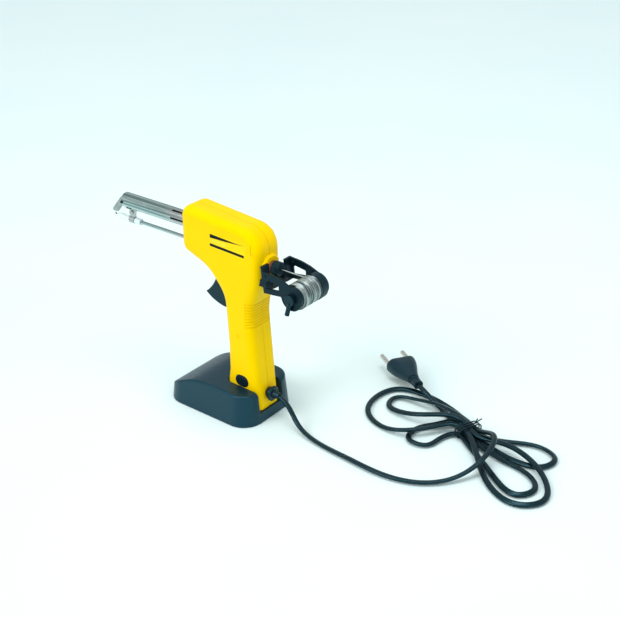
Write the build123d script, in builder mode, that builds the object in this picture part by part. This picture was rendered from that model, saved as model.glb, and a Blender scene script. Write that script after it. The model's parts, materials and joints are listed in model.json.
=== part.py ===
from build123d import *

import os
from math import cos, radians, sin

# A pistol-shaped soldering gun that feeds its own solder, standing in its table stand.
# Millimetres. +Z is up, -X is the way the soldering tip points, Y = 0 is the gun's mid-plane.
# The origin is the middle of the stand's footprint, on the table.

# ---------------------------------------------------------------- driving dimensions
BODY_WIDTH = 28.0
WALL = 2.2
EDGE_ROUND = 7.0
HANDLE_FOOT_Z = 9.0
HALF = BODY_WIDTH / 2
INSIDE = HALF - WALL
SLIP = 0.05  # radial clearance of a shaft in its bore
FIT = 0.1  # clearance between parts that only sit together

BARREL_Z = 150.3
BARREL_R = 6.3
BARREL_WALL = 0.6
BARREL_FRONT_X = -107.0
BARREL_REAR_X = -16.0
TIP_R = 3.1
TIP_BEND_R = 2.75

WIRE_Z = 134.0
WIRE_R = 0.5
WIRE_BORE_R = 0.75
GUIDE_R = 1.5
NOZZLE_FRONT_X = -118.0
NOZZLE_REAR_X = -103.2
GUIDE_FRONT_X = -104.5

TRIGGER_PIVOT = (9.0, 113.0)
TRIGGER_WIDTH = 10.0

WHEEL_CENTRE = (20.0, 125.5)
WHEEL_R = 8.2
ROLLER_CENTRE = (20.0, 139.0)
ROLLER_R = 4.7
ARM_PIVOT = (34.0, 143.0)
RATCHET_TEETH = 12
RATCHET_R = 7.6
RATCHET_ROOT_R = 6.2
RATCHET_START = -17.5  # angle of the tooth the pawl pushes, degrees
PAWL_PIN = (26.5, 110.0)

SPOOL_AXIS = (78.4, 122.5)
ARM_DISC_R = 9.2
COIL_R = 10.3
ARM_Y = 15.4  # inner face of each spool bracket arm
ARM_T = 1.6
AXLE_PIN_R = 2.0

RELIEF_Z = 21.5
CORD_R = 1.8

STAND_LENGTH = 89.7
STAND_WIDTH = 63.4
STAND_CORNER = 17.4
STAND_WALL = 2.5
SOCKET_FLOOR_Z = 8.7
PAD_T = 1.0

SET_SCREW_SEAT = (-105.4, -3.12, BARREL_Z)
SET_SCREW_OUT = (0, -1, 0)

SCREW_SPOTS = ((-8.0, 161.0), (-8.0, 141.0), (36.0, 155.0), (23.5, 72.0), (20.0, 15.0))
SCREW_BOSS_R = 3.0
SCREW_HEAD_R = 2.4
SCREW_SHANK_R = 1.1
SCREW_HEAD_Y = 6.0

# bracket screws, one into a boss of each shell
BRACKET_SCREW_Y = 7.0
BRACKET_SCREW_Z = 122.4
BRACKET_SCREW_TIP_X = 36.0

# posts under the cord clamp
CLAMP_X = (30.0, 34.0)
CLAMP_TOP_Z = 23.7
CLAMP_SCREW_Y = 6.5
CLAMP_MIDDLE_X = sum(CLAMP_X) / 2

os.makedirs("parts", exist_ok=True)


# ---------------------------------------------------------------- shared shapes
def housing_outline(inset):
    """Side view of the yellow body, shrunk all round by inset."""
    corners = (
        (42.0, HANDLE_FOOT_Z),
        (34.7, 96.0),
        (45.0, 126.0),
        (44.6, 162.4),
        (-34.0, 169.0),
        (-34.0, 131.0),
        (-8.0, 121.0),
        (7.4, 103.0),
        (9.9, 60.0),
        (9.9, 38.0),
        (8.4, 28.0),
        (8.0, HANDLE_FOOT_Z),
    )
    rounds = (60.0, 60.0, 18.0, 9.0, 8.5, 30.0, 25.0, 150.0, 20.0, 20.0)
    with BuildSketch() as outline:
        with BuildLine():
            side = FilletPolyline(*corners, radius=rounds)
            Line(side @ 1, side @ 0)
        make_face()
        if inset:
            offset(amount=-inset, kind=Kind.INTERSECTION)
    return outline.sketch


def housing_block(inset, edge_round):
    """The body as one solid with rounded long edges; its foot stays flat."""
    half = HALF - inset
    with BuildPart() as block:
        with BuildSketch(Plane.XZ.offset(half)):
            add(housing_outline(inset))
        extrude(amount=-2 * half)
        rims = block.edges().filter_by(lambda e: abs(abs(e.center().Y) - half) < 0.001)
        long_rims = rims.filter_by(lambda e: e.center().Z > HANDLE_FOOT_Z + inset + 0.5)
        fillet(long_rims, edge_round)
    return block.part


def round_bar(start, end, radius, bore=0.0):
    """A straight round bar between two points, hollow when bore is given."""
    along = Line(start, end)
    with BuildPart() as bar:
        with BuildSketch(Plane(origin=start, z_dir=along % 0)):
            Circle(radius)
            if bore:
                Circle(bore, mode=Mode.SUBTRACT)
        extrude(amount=along.length)
    return bar.part


def cross_bar(spot, y_from, y_to, radius, bore=0.0):
    """A round bar along Y at a side-view spot (x, z)."""
    return round_bar((spot[0], y_from, spot[1]), (spot[0], y_to, spot[1]), radius, bore)


def coil_spring(foot, axis, length, radius, wire, turns):
    """An open coil spring standing on foot and running along axis."""
    with BuildPart() as spring:
        with BuildLine():
            path = Helix(pitch=length / turns, height=length, radius=radius, center=foot, direction=axis)
        with BuildSketch(Plane(origin=path @ 0, z_dir=path % 0)):
            Circle(wire / 2)
        sweep(path=path, is_frenet=True)
    return spring.part


def side_plate(points, y_from, y_to):
    """A flat plate drawn in the side view (x, z) and given its width along Y."""
    with BuildPart() as plate:
        with BuildSketch(Plane.XZ.offset(-y_from)):
            with BuildLine():
                Polyline(*points, close=True)
            make_face()
        extrude(amount=y_from - y_to)
    return plate.part


outer_block = housing_block(0.0, EDGE_ROUND)
inner_block = housing_block(WALL, EDGE_ROUND - WALL)

# ---------------------------------------------------------------- what is cut from both shells
with BuildPart() as body_openings:
    # barrel, solder guide tube, wire inlet and cord holes
    add(round_bar((-40, 0, BARREL_Z), (-30, 0, BARREL_Z), BARREL_R + 0.3))
    add(round_bar((-40, 0, WIRE_Z), (-30, 0, WIRE_Z), GUIDE_R + 0.3))
    add(round_bar((39, 0, WIRE_Z), (50, 0, WIRE_Z), 3.5))
    add(round_bar((36, 0, RELIEF_Z), (50, 0, RELIEF_Z), 4.0))
    # slot the trigger swings through
    slot_side = ((-9.5, 124), (-9.5, 113), (3, 98), (4, 86), (14, 86), (14, 112), (4, 120))
    add(side_plate(slot_side, -TRIGGER_WIDTH / 2 - 0.4, TRIGGER_WIDTH / 2 + 0.4))

# ---------------------------------------------------------------- what both shells hold inside
POST_WALL = 1.5
POSTS = (  # side-view spot, shaft radius, inner end on the left side and on the right side
    (WHEEL_CENTRE, 2.0, 3.0, 6.2),
    (TRIGGER_PIVOT, 1.6, 5.5, 5.5),
    (ARM_PIVOT, 1.5, 5.4, 5.4),
)

with BuildPart() as ribs:
    # behind the barrel flange, and round the guide tube
    add(side_plate(((-21.5, 168), (-19.5, 168), (-19.5, 120), (-21.5, 120)), -HALF, HALF))
    add(side_plate(((-6.5, 138), (-4.5, 138), (-4.5, 118), (-6.5, 118)), -HALF, HALF))
    # round the inlet bush
    add(side_plate(((38.5, 139.5), (40.5, 139.5), (40.5, 128), (38.5, 128)), -HALF, HALF))
    # seats of the pressure spring and of the trigger spring
    add(side_plate(((15.5, 168), (22.5, 168), (22.5, 157.5), (15.5, 157.5)), -5, 5))
    add(side_plate(((30.8, 126.5), (44, 126.5), (44, 124.5), (30.8, 124.5)), -5, 5))
    # shelves under the terminal block
    add(side_plate(((8, 40), (17.5, 40), (17.5, 38), (8, 38)), -HALF, HALF))
    add(side_plate(((31.5, 40), (43, 40), (43, 38), (31.5, 38)), -HALF, HALF))
    # bores through the ribs
    add(round_bar((-22, 0, BARREL_Z), (-19, 0, BARREL_Z), BARREL_R + 0.2), mode=Mode.SUBTRACT)
    add(round_bar((-22, 0, WIRE_Z), (-4, 0, WIRE_Z), GUIDE_R + FIT), mode=Mode.SUBTRACT)
    add(round_bar((38, 0, WIRE_Z), (41, 0, WIRE_Z), 3.5), mode=Mode.SUBTRACT)

BOSS_FRONT_X = 40.0
BOSS_REAR_X = 47.0
BOSS_SIZE = 18.0

with BuildPart() as inlet_boss:
    # chamfered boss round the wire inlet, on the body's rear face
    with BuildSketch(Plane.YZ.offset(BOSS_FRONT_X)):
        with Locations((0, WIRE_Z)):
            boss_square = Rectangle(BOSS_SIZE, BOSS_SIZE)
        chamfer(boss_square.vertices(), 5.0)
    extrude(amount=BOSS_REAR_X - BOSS_FRONT_X)
    chamfer(inlet_boss.faces().sort_by(Axis.X)[-1].edges(), 1.2)
    add(round_bar((39, 0, WIRE_Z), (50, 0, WIRE_Z), 3.5), mode=Mode.SUBTRACT)


with BuildPart() as ribs_inside:
    # every rib is kept within the body's own outline
    add(ribs.part)
    add(housing_block(WALL / 2, EDGE_ROUND - WALL / 2), mode=Mode.INTERSECT)

# ---------------------------------------------------------------- grooves moulded in both shells
GROOVE_DEPTH = 0.4
GROOVE_START_Z = 82.0
GROOVE_PITCH = 2.5
GROOVE_COUNT = 9

with BuildPart() as groove_slabs:
    # grip grooves round the back of the handle, and the parting line between the shells
    for groove in range(GROOVE_COUNT):
        with Locations((40.0, 0, GROOVE_START_Z + groove * GROOVE_PITCH)):
            Box(20.0, 2 * HALF + 2, 0.9)
    with Locations((5.0, 0, 95.0)):
        Box(120.0, 0.4, 160.0)

with BuildPart() as body_grooves:
    # only the outermost layer of the body is cut
    add(outer_block)
    add(housing_block(GROOVE_DEPTH, EDGE_ROUND - GROOVE_DEPTH), mode=Mode.SUBTRACT)
    add(groove_slabs.part, mode=Mode.INTERSECT)


def clamp_post(side):
    """Post on the shell's wall that one end of the cord clamp is screwed down to."""
    with BuildPart() as post:
        points = (
            (CLAMP_X[0], 12.0),
            (CLAMP_X[1], 12.0),
            (CLAMP_X[1], CLAMP_TOP_Z),
            (CLAMP_X[0], CLAMP_TOP_Z),
        )
        add(side_plate(points, side * 3.5, side * (INSIDE + 0.5)))
        hole_foot = (CLAMP_MIDDLE_X, side * CLAMP_SCREW_Y, 15.0)
        hole_top = (CLAMP_MIDDLE_X, side * CLAMP_SCREW_Y, 30.0)
        add(round_bar(hole_foot, hole_top, 0.95), mode=Mode.SUBTRACT)
    return post.part


def shell_half(side):
    """One moulded shell: side is -1 for the left one and +1 for the right one."""
    with BuildPart() as shell:
        add(outer_block)
        add(inner_block, mode=Mode.SUBTRACT)
        add(ribs_inside.part)
        add(inlet_boss.part)
        add(body_openings.part, mode=Mode.SUBTRACT)
        add(body_grooves.part, mode=Mode.SUBTRACT)
        split(bisect_by=Plane.XZ, keep=Keep.TOP if side < 0 else Keep.BOTTOM)
        for spot, shaft_r, left_end, right_end in POSTS:
            inner_end = left_end if side < 0 else right_end
            add(cross_bar(spot, side * inner_end, side * (INSIDE + 0.5), shaft_r + POST_WALL))
            add(cross_bar(spot, side * inner_end, side * (INSIDE - 0.3), shaft_r + SLIP), mode=Mode.SUBTRACT)
        # bosses of the screws that join the shells
        for spot in SCREW_SPOTS:
            add(cross_bar(spot, 0, side * (INSIDE + 0.5), SCREW_BOSS_R))
            if side < 0:
                add(cross_bar(spot, 1, -9.0, SCREW_SHANK_R + SLIP), mode=Mode.SUBTRACT)
            else:
                add(cross_bar(spot, -1, HALF + 1, SCREW_SHANK_R + 0.2), mode=Mode.SUBTRACT)
                add(cross_bar(spot, SCREW_HEAD_Y, HALF + 1, SCREW_HEAD_R + 0.2), mode=Mode.SUBTRACT)
        # boss of the bracket screw
        boss_end = (42.5, side * BRACKET_SCREW_Y, BRACKET_SCREW_Z)
        add(round_bar((34.5, side * BRACKET_SCREW_Y, BRACKET_SCREW_Z), boss_end, 2.8))
        screw_hole_end = (50.0, side * BRACKET_SCREW_Y, BRACKET_SCREW_Z)
        screw_hole = round_bar((35.5, side * BRACKET_SCREW_Y, BRACKET_SCREW_Z), screw_hole_end, 1.05)
        add(screw_hole, mode=Mode.SUBTRACT)
        # block under the cord clamp
        add(clamp_post(side))
    return shell


# ---------------------------------------------------------------- left shell
BUTTON_SPOT = (25.5, 32.5)
BUTTON_LENGTH = 13.0
BUTTON_HEIGHT = 10.0
PANEL_SPOT = (40.0, 149.5)
PANEL_SIZE = (4.7, 7.6)
PANEL_GROOVE = 0.5
PANEL_DEPTH = 0.6

with BuildPart() as housing_left:
    add(shell_half(-1).part)
    # oval hole the release button slides in
    with BuildSketch(Plane.XZ.offset(HALF + 1)):
        with Locations(BUTTON_SPOT):
            SlotOverall(BUTTON_LENGTH + 0.3, BUTTON_HEIGHT + 0.3)
    extrude(amount=-WALL - 2, mode=Mode.SUBTRACT)
    # wall that the button's spring pushes against
    add(side_plate(((18.5, 27), (32.5, 27), (32.5, 38), (18.5, 38)), -5.0, -3.6))
    for web_x in (16.1, 32.9):
        add(side_plate(((web_x, 27), (web_x + 1.9, 27), (web_x + 1.9, 38), (web_x, 38)), -INSIDE - 0.5, -3.6))
    # small raised-edge panel near the rear of the side
    with BuildSketch(Plane.XZ.offset(HALF)):
        with Locations(PANEL_SPOT):
            Rectangle(*PANEL_SIZE)
            Rectangle(PANEL_SIZE[0] - 2 * PANEL_GROOVE, PANEL_SIZE[1] - 2 * PANEL_GROOVE, mode=Mode.SUBTRACT)
    extrude(amount=-PANEL_DEPTH, mode=Mode.SUBTRACT)
    # shallow sink mark over the middle screw boss
    with BuildSketch(Plane.XZ.offset(HALF)):
        with Locations(SCREW_SPOTS[3]):
            Circle(1.7)
    extrude(amount=-0.4, mode=Mode.SUBTRACT)
housing_left.part.label = "housing_left"
export_step(housing_left.part, "parts/housing_left.step")

# ---------------------------------------------------------------- right shell
with BuildPart() as housing_right:
    add(shell_half(1).part)
    with BuildSketch(Plane.XZ.offset(-HALF)):
        with Locations(PANEL_SPOT):
            Rectangle(*PANEL_SIZE)
            Rectangle(PANEL_SIZE[0] - 2 * PANEL_GROOVE, PANEL_SIZE[1] - 2 * PANEL_GROOVE, mode=Mode.SUBTRACT)
    extrude(amount=PANEL_DEPTH, mode=Mode.SUBTRACT)
housing_right.part.label = "housing_right"
export_step(housing_right.part, "parts/housing_right.step")

# ---------------------------------------------------------------- screws that join the shells
with BuildPart() as housing_screws:
    for spot in SCREW_SPOTS:
        add(cross_bar(spot, -8.5, SCREW_HEAD_Y + 0.05, SCREW_SHANK_R))
        add(cross_bar(spot, SCREW_HEAD_Y + 0.05, SCREW_HEAD_Y + 1.85, SCREW_HEAD_R))
        # cross slot in the head
        with BuildSketch(Plane.XZ.offset(-SCREW_HEAD_Y - 1.85)):
            with Locations(spot):
                Rectangle(2.8, 0.6)
                Rectangle(0.6, 2.8)
        extrude(amount=0.8, mode=Mode.SUBTRACT)
housing_screws.part.label = "housing_screws"
export_step(housing_screws.part, "parts/housing_screws.step")

# ---------------------------------------------------------------- barrel
SLOT_MIDDLE_X = -40.2
SLOT_LENGTH = 22.4
SLOT_WIDTH = 1.6

with BuildPart() as barrel_tube:
    add(round_bar((BARREL_FRONT_X, 0, BARREL_Z), (BARREL_REAR_X, 0, BARREL_Z), BARREL_R))
    rear_bore = round_bar(
        (BARREL_FRONT_X + 4.2, 0, BARREL_Z), (BARREL_REAR_X + 1, 0, BARREL_Z), BARREL_R - BARREL_WALL
    )
    add(rear_bore, mode=Mode.SUBTRACT)
    front_bore = round_bar((BARREL_FRONT_X - 1, 0, BARREL_Z), (BARREL_FRONT_X + 5, 0, BARREL_Z), TIP_R + SLIP)
    add(front_bore, mode=Mode.SUBTRACT)
    fillet(barrel_tube.faces().sort_by(Axis.X)[0].edges().sort_by(SortBy.RADIUS)[-1], 0.8)
    # six long cooling slots round the barrel, running into the housing
    for angle in (0, 60, 120):
        slot_out = (0, cos(radians(angle)), sin(radians(angle)))
        with BuildSketch(Plane(origin=(SLOT_MIDDLE_X, 0, BARREL_Z), x_dir=(1, 0, 0), z_dir=slot_out)):
            SlotOverall(SLOT_LENGTH, SLOT_WIDTH)
        extrude(amount=BARREL_R + 1, both=True, mode=Mode.SUBTRACT)
    # threaded hole of the tip's set screw
    with BuildSketch(Plane(origin=SET_SCREW_SEAT, z_dir=SET_SCREW_OUT)):
        Circle(1.25)
    extrude(amount=8.0, mode=Mode.SUBTRACT)
barrel_tube.part.label = "barrel_tube"
export_step(barrel_tube.part, "parts/barrel_tube.step")

with BuildPart() as barrel_flange:
    # collar that the shells grip between the front wall and a rib
    add(round_bar((-30.6, 0, BARREL_Z), (-21.7, 0, BARREL_Z), 8.6, BARREL_R + 0.02))
    with BuildSketch(Plane.YZ.offset(-28.5)):
        with Locations((0, BARREL_Z)):
            Circle(10)
            Circle(7.6, mode=Mode.SUBTRACT)
    extrude(amount=3.6, mode=Mode.SUBTRACT)
barrel_flange.part.label = "barrel_flange"
export_step(barrel_flange.part, "parts/barrel_flange.step")

with BuildPart() as heating_element:
    # ceramic core with the heater wire wound in it, behind the tip's shank
    add(round_bar((-92.0, 0, BARREL_Z), (-24.0, 0, BARREL_Z), 3.6))
    add(round_bar((-24.0, 0, BARREL_Z), (-19.0, 0, BARREL_Z), 3.0))
heating_element.part.label = "heating_element"
export_step(heating_element.part, "parts/heating_element.step")

# ---------------------------------------------------------------- soldering tip
with BuildPart() as soldering_tip:
    # shank that slides into the barrel, then the thinner bent end
    add(round_bar((-93, 0, BARREL_Z), (-107.6, 0, BARREL_Z), TIP_R))
    with BuildLine(Plane.XZ):
        tip_path = FilletPolyline((-105, BARREL_Z), (-109.8, BARREL_Z), (-123.3, 134.2), radius=4.0)
    with BuildSketch(Plane(origin=tip_path @ 0, z_dir=tip_path % 0)):
        Circle(TIP_BEND_R)
    sweep(path=tip_path)
    # working end: cut across low down and dressed to a chisel
    with BuildSketch(Plane.XZ.offset(5)):
        with BuildLine():
            Polyline(
                (-132, 139.3), (-121.6, 139.3), (-116.4, 137.3), (-108, 137.3), (-108, 126), (-132, 126),
                close=True,
            )
        make_face()
    extrude(amount=-10, mode=Mode.SUBTRACT)
soldering_tip.part.label = "soldering_tip"
export_step(soldering_tip.part, "parts/soldering_tip.step")

with BuildPart() as tip_set_screw:
    with BuildSketch(Plane(origin=SET_SCREW_SEAT, z_dir=SET_SCREW_OUT)):
        Circle(1.2)
    extrude(amount=3.9)
    with BuildSketch(Plane(origin=SET_SCREW_SEAT, z_dir=SET_SCREW_OUT).offset(3.9)):
        RegularPolygon(0.75, 6)
    extrude(amount=-1.4, mode=Mode.SUBTRACT)
tip_set_screw.part.label = "tip_set_screw"
export_step(tip_set_screw.part, "parts/tip_set_screw.step")

# ---------------------------------------------------------------- solder guide tube and nozzle
with BuildPart() as guide_tube:
    add(round_bar((GUIDE_FRONT_X, 0, WIRE_Z), (13.0, 0, WIRE_Z), GUIDE_R, WIRE_BORE_R))
guide_tube.part.label = "guide_tube"
export_step(guide_tube.part, "parts/guide_tube.step")

with BuildPart() as nozzle:
    with BuildSketch(Plane.XZ):
        with BuildLine():
            Polyline(
                (NOZZLE_FRONT_X, WIRE_Z + WIRE_BORE_R),
                (NOZZLE_FRONT_X, WIRE_Z + 1.5),
                (NOZZLE_FRONT_X + 3.2, WIRE_Z + 2.5),
                (NOZZLE_REAR_X, WIRE_Z + 2.5),
                (NOZZLE_REAR_X, WIRE_Z + GUIDE_R + 0.02),
                (GUIDE_FRONT_X - FIT, WIRE_Z + GUIDE_R + 0.02),
                (GUIDE_FRONT_X - FIT, WIRE_Z + WIRE_BORE_R),
                close=True,
            )
        make_face()
    revolve(axis=Axis((0, 0, WIRE_Z), (1, 0, 0)))
nozzle.part.label = "nozzle"
export_step(nozzle.part, "parts/nozzle.step")

with BuildPart() as nozzle_ferrule:
    add(round_bar((-97.0, 0, WIRE_Z), (-90.5, 0, WIRE_Z), 2.7, GUIDE_R + 0.02))
    rims = nozzle_ferrule.edges().filter_by(GeomType.CIRCLE).sort_by(SortBy.RADIUS)[-2:]
    fillet(rims, 0.7)
nozzle_ferrule.part.label = "nozzle_ferrule"
export_step(nozzle_ferrule.part, "parts/nozzle_ferrule.step")

# ---------------------------------------------------------------- bracket under the barrel
BRACKET_X = (-102.7, -97.2)
BRACKET_SCREW_SPOT = (-99.8, 141.0)

with BuildPart() as nozzle_bracket:
    # saddle against the barrel, web, and an eye round the guide tube
    with BuildSketch(Plane.YZ.offset(BRACKET_X[0])):
        with Locations((0, BARREL_Z)):
            Circle(BARREL_R + 0.75)
            Circle(BARREL_R + 0.03, mode=Mode.SUBTRACT)
            with Locations((0, 2.6)):
                Rectangle(20, 15, mode=Mode.SUBTRACT)
        with Locations((0, 140.3)):
            Rectangle(2.2, 7.0)
        with Locations((0, WIRE_Z)):
            Circle(2.9)
            Circle(GUIDE_R + 0.02, mode=Mode.SUBTRACT)
    extrude(amount=BRACKET_X[1] - BRACKET_X[0])
    add(cross_bar(BRACKET_SCREW_SPOT, -5, 5, 0.95), mode=Mode.SUBTRACT)
nozzle_bracket.part.label = "nozzle_bracket"
export_step(nozzle_bracket.part, "parts/nozzle_bracket.step")

with BuildPart() as bracket_screw:
    add(cross_bar(BRACKET_SCREW_SPOT, -1.15, 2.8, 0.9))
    add(cross_bar(BRACKET_SCREW_SPOT, -2.6, -1.15, 1.7))
    with BuildSketch(Plane.XZ.offset(2.6)):
        with Locations(BRACKET_SCREW_SPOT):
            Rectangle(2.4, 0.5)
    extrude(amount=-0.7, mode=Mode.SUBTRACT)
bracket_screw.part.label = "bracket_screw"
export_step(bracket_screw.part, "parts/bracket_screw.step")

with BuildPart() as bracket_nut:
    with BuildSketch(Plane.XZ.offset(-1.15)):
        with Locations(BRACKET_SCREW_SPOT):
            RegularPolygon(2.0, 6)
            Circle(0.92, mode=Mode.SUBTRACT)
    extrude(amount=-1.4)
bracket_nut.part.label = "bracket_nut"
export_step(bracket_nut.part, "parts/bracket_nut.step")

# ---------------------------------------------------------------- trigger and its pin
LEVER_TOP_Z = 112.4
LEVER_FOOT_Z = 107.0

with BuildPart() as trigger:
    with BuildSketch(Plane.XZ.offset(TRIGGER_WIDTH / 2)):
        with BuildLine():
            Spline((-4.6, 117.0), (-7.4, 109.3), (-11.9, 101.8), (-18.0, 95.6))
            ThreePointArc((-18.0, 95.6), (-8.6, 89.7), (2.4, 87.0))
            Polyline((2.4, 87.0), (10.5, 87.0), (14.6, 106.0), (12.0, 117.6), (4.0, 118.6), (-4.6, 117.0))
        make_face()
    extrude(amount=-TRIGGER_WIDTH)
    grip_edges = trigger.edges().filter_by(lambda e: e.center().X < -3 and abs(e.center().Y) > 4.9)
    fillet(grip_edges, 1.6)
    # lever that carries the pawl and meets the return spring
    lever_side = ((9, LEVER_FOOT_Z), (35, LEVER_FOOT_Z), (35, LEVER_TOP_Z), (9, LEVER_TOP_Z))
    add(side_plate(lever_side, -2.2, 2.2))
    add(cross_bar(TRIGGER_PIVOT, -6, 6, 1.6 + SLIP), mode=Mode.SUBTRACT)
    add(cross_bar(PAWL_PIN, -3, 3, 1.02), mode=Mode.SUBTRACT)
trigger.part.label = "trigger"
export_step(trigger.part, "parts/trigger.step")

with BuildPart() as trigger_pin:
    add(cross_bar(TRIGGER_PIVOT, -INSIDE + 0.4, INSIDE - 0.4, 1.6))
trigger_pin.part.label = "trigger_pin"
export_step(trigger_pin.part, "parts/trigger_pin.step")

with BuildPart() as trigger_spring:
    add(coil_spring((33.0, 0, LEVER_TOP_Z + 0.5), (0, 0, 1), 11.1, 1.8, 0.7, 6))
trigger_spring.part.label = "trigger_spring"
export_step(trigger_spring.part, "parts/trigger_spring.step")

# ---------------------------------------------------------------- pawl that pushes the ratchet
with BuildPart() as feed_pawl:
    pawl_side = (
        (24.6, 109.0), (28.6, 109.0), (29.8, 119.4), (27.7, 122.8), (26.3, 123.3),
        (26.9, 121.5), (27.7, 119.6), (27.0, 112.6), (24.6, 112.0),
    )
    add(side_plate(pawl_side, 2.7, 5.3))
    add(cross_bar(PAWL_PIN, 2.7, 5.3, 2.6))
    add(cross_bar(PAWL_PIN, 2, 6, 1.0 + SLIP), mode=Mode.SUBTRACT)
feed_pawl.part.label = "feed_pawl"
export_step(feed_pawl.part, "parts/feed_pawl.step")

with BuildPart() as pawl_pin:
    add(cross_bar(PAWL_PIN, -3.2, 5.9, 1.0))
    add(cross_bar(PAWL_PIN, 5.4, 5.9, 1.9))
pawl_pin.part.label = "pawl_pin"
export_step(pawl_pin.part, "parts/pawl_pin.step")

# ---------------------------------------------------------------- feed wheel with its ratchet
def grooved_roller(centre, half_width, rim_r, groove_r, bore_r):
    """A wheel on a Y axis with a V groove for the wire."""
    with BuildPart() as wheel:
        with BuildSketch(Plane(origin=(centre[0], 0, centre[1]), x_dir=(1, 0, 0), z_dir=(0, 0, 1))):
            with BuildLine():
                Polyline(
                    (bore_r, -half_width), (rim_r - 0.4, -half_width), (rim_r, -half_width + 0.4), (rim_r, -0.8),
                    (groove_r, -0.3), (groove_r, 0.3), (rim_r, 0.8), (rim_r, half_width - 0.4),
                    (rim_r - 0.4, half_width), (bore_r, half_width), close=True,
                )
            make_face()
        revolve(axis=Axis((centre[0], 0, centre[1]), (0, 1, 0)))
    return wheel.part


def ratchet_points():
    """Saw-tooth outline: a radial face, then a ramp down to the next tooth's face."""
    points = []
    for tooth in range(RATCHET_TEETH):
        face_angle = radians(RATCHET_START + tooth * 360 / RATCHET_TEETH)
        for radius in (RATCHET_ROOT_R, RATCHET_R):
            point_x = WHEEL_CENTRE[0] + radius * cos(face_angle)
            point_z = WHEEL_CENTRE[1] + radius * sin(face_angle)
            points.append((point_x, point_z))
    return points


GROOVE_GAP = 0.05

with BuildPart() as feed_wheel:
    wheel_groove_r = WIRE_Z - WIRE_R - WHEEL_CENTRE[1] - GROOVE_GAP
    add(grooved_roller(WHEEL_CENTRE, 2.5, WHEEL_R, wheel_groove_r, 2.0 + SLIP))
    add(side_plate(ratchet_points(), 2.5, 5.5))
    add(cross_bar(WHEEL_CENTRE, -3, 6, 2.0 + SLIP), mode=Mode.SUBTRACT)
feed_wheel.part.label = "feed_wheel"
export_step(feed_wheel.part, "parts/feed_wheel.step")

with BuildPart() as feed_wheel_axle:
    add(cross_bar(WHEEL_CENTRE, -INSIDE + 0.4, INSIDE - 0.4, 2.0))
feed_wheel_axle.part.label = "feed_wheel_axle"
export_step(feed_wheel_axle.part, "parts/feed_wheel_axle.step")

# ---------------------------------------------------------------- pressure roller on its arm
CHEEK_Y = 2.7
CHEEK_T = 1.5
BRIDGE_Z = (144.5, 146.0)

with BuildPart() as pressure_roller:
    roller_groove_r = ROLLER_CENTRE[1] - WIRE_Z - WIRE_R - GROOVE_GAP
    add(grooved_roller(ROLLER_CENTRE, 2.4, ROLLER_R, roller_groove_r, 1.25 + SLIP))
pressure_roller.part.label = "pressure_roller"
export_step(pressure_roller.part, "parts/pressure_roller.step")

with BuildPart() as roller_axle:
    add(cross_bar(ROLLER_CENTRE, -CHEEK_Y - CHEEK_T, CHEEK_Y + CHEEK_T, 1.25))
roller_axle.part.label = "roller_axle"
export_step(roller_axle.part, "parts/roller_axle.step")

with BuildPart() as pressure_arm:
    cheek_side = (
        (17.6, 136.8), (21.6, 136.6), (34.0, 140.4), (36.4, 142.0), (36.4, 144.6),
        (33.5, 146.0), (15.0, BRIDGE_Z[1]), (15.0, 140.0),
    )
    for cheek_y in (-CHEEK_Y - CHEEK_T, CHEEK_Y):
        add(side_plate(cheek_side, cheek_y, cheek_y + CHEEK_T))
    bridge_side = ((15, BRIDGE_Z[0]), (25, BRIDGE_Z[0]), (25, BRIDGE_Z[1]), (15, BRIDGE_Z[1]))
    add(side_plate(bridge_side, -CHEEK_Y - CHEEK_T, CHEEK_Y + CHEEK_T))
    add(cross_bar(ROLLER_CENTRE, -6, 6, 1.27), mode=Mode.SUBTRACT)
    add(cross_bar(ARM_PIVOT, -6, 6, 1.5 + SLIP), mode=Mode.SUBTRACT)
pressure_arm.part.label = "pressure_arm"
export_step(pressure_arm.part, "parts/pressure_arm.step")

with BuildPart() as pressure_arm_pin:
    add(cross_bar(ARM_PIVOT, -INSIDE + 0.4, INSIDE - 0.4, 1.5))
pressure_arm_pin.part.label = "pressure_arm_pin"
export_step(pressure_arm_pin.part, "parts/pressure_arm_pin.step")

with BuildPart() as pressure_spring:
    add(coil_spring((19.0, 0, BRIDGE_Z[1] + 0.45), (0, 0, 1), 10.6, 2.4, 0.8, 6))
pressure_spring.part.label = "pressure_spring"
export_step(pressure_spring.part, "parts/pressure_spring.step")

# ---------------------------------------------------------------- wire inlet
KNOB_FRONT_X = 49.1
KNOB_REAR_X = 56.0
KNOB_R = 5.4

with BuildPart() as inlet_bush:
    with BuildSketch(Plane.XZ):
        with BuildLine():
            Polyline(
                (26.0, WIRE_Z + WIRE_BORE_R),
                (26.0, WIRE_Z + 1.3),
                (31.0, WIRE_Z + 1.3),
                (32.0, WIRE_Z + 3.4),
                (KNOB_REAR_X - 1.5, WIRE_Z + 3.4),
                (KNOB_REAR_X - 1.5, WIRE_Z + 2.0),
                (KNOB_REAR_X - 3.5, WIRE_Z + WIRE_BORE_R),
                close=True,
            )
        make_face()
    revolve(axis=Axis((0, 0, WIRE_Z), (1, 0, 0)))
inlet_bush.part.label = "inlet_bush"
export_step(inlet_bush.part, "parts/inlet_bush.step")

with BuildPart() as inlet_ring:
    add(round_bar((BOSS_REAR_X + 0.1, 0, WIRE_Z), (KNOB_FRONT_X - 0.1, 0, WIRE_Z), 5.0, 3.45))
inlet_ring.part.label = "inlet_ring"
export_step(inlet_ring.part, "parts/inlet_ring.step")

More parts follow.
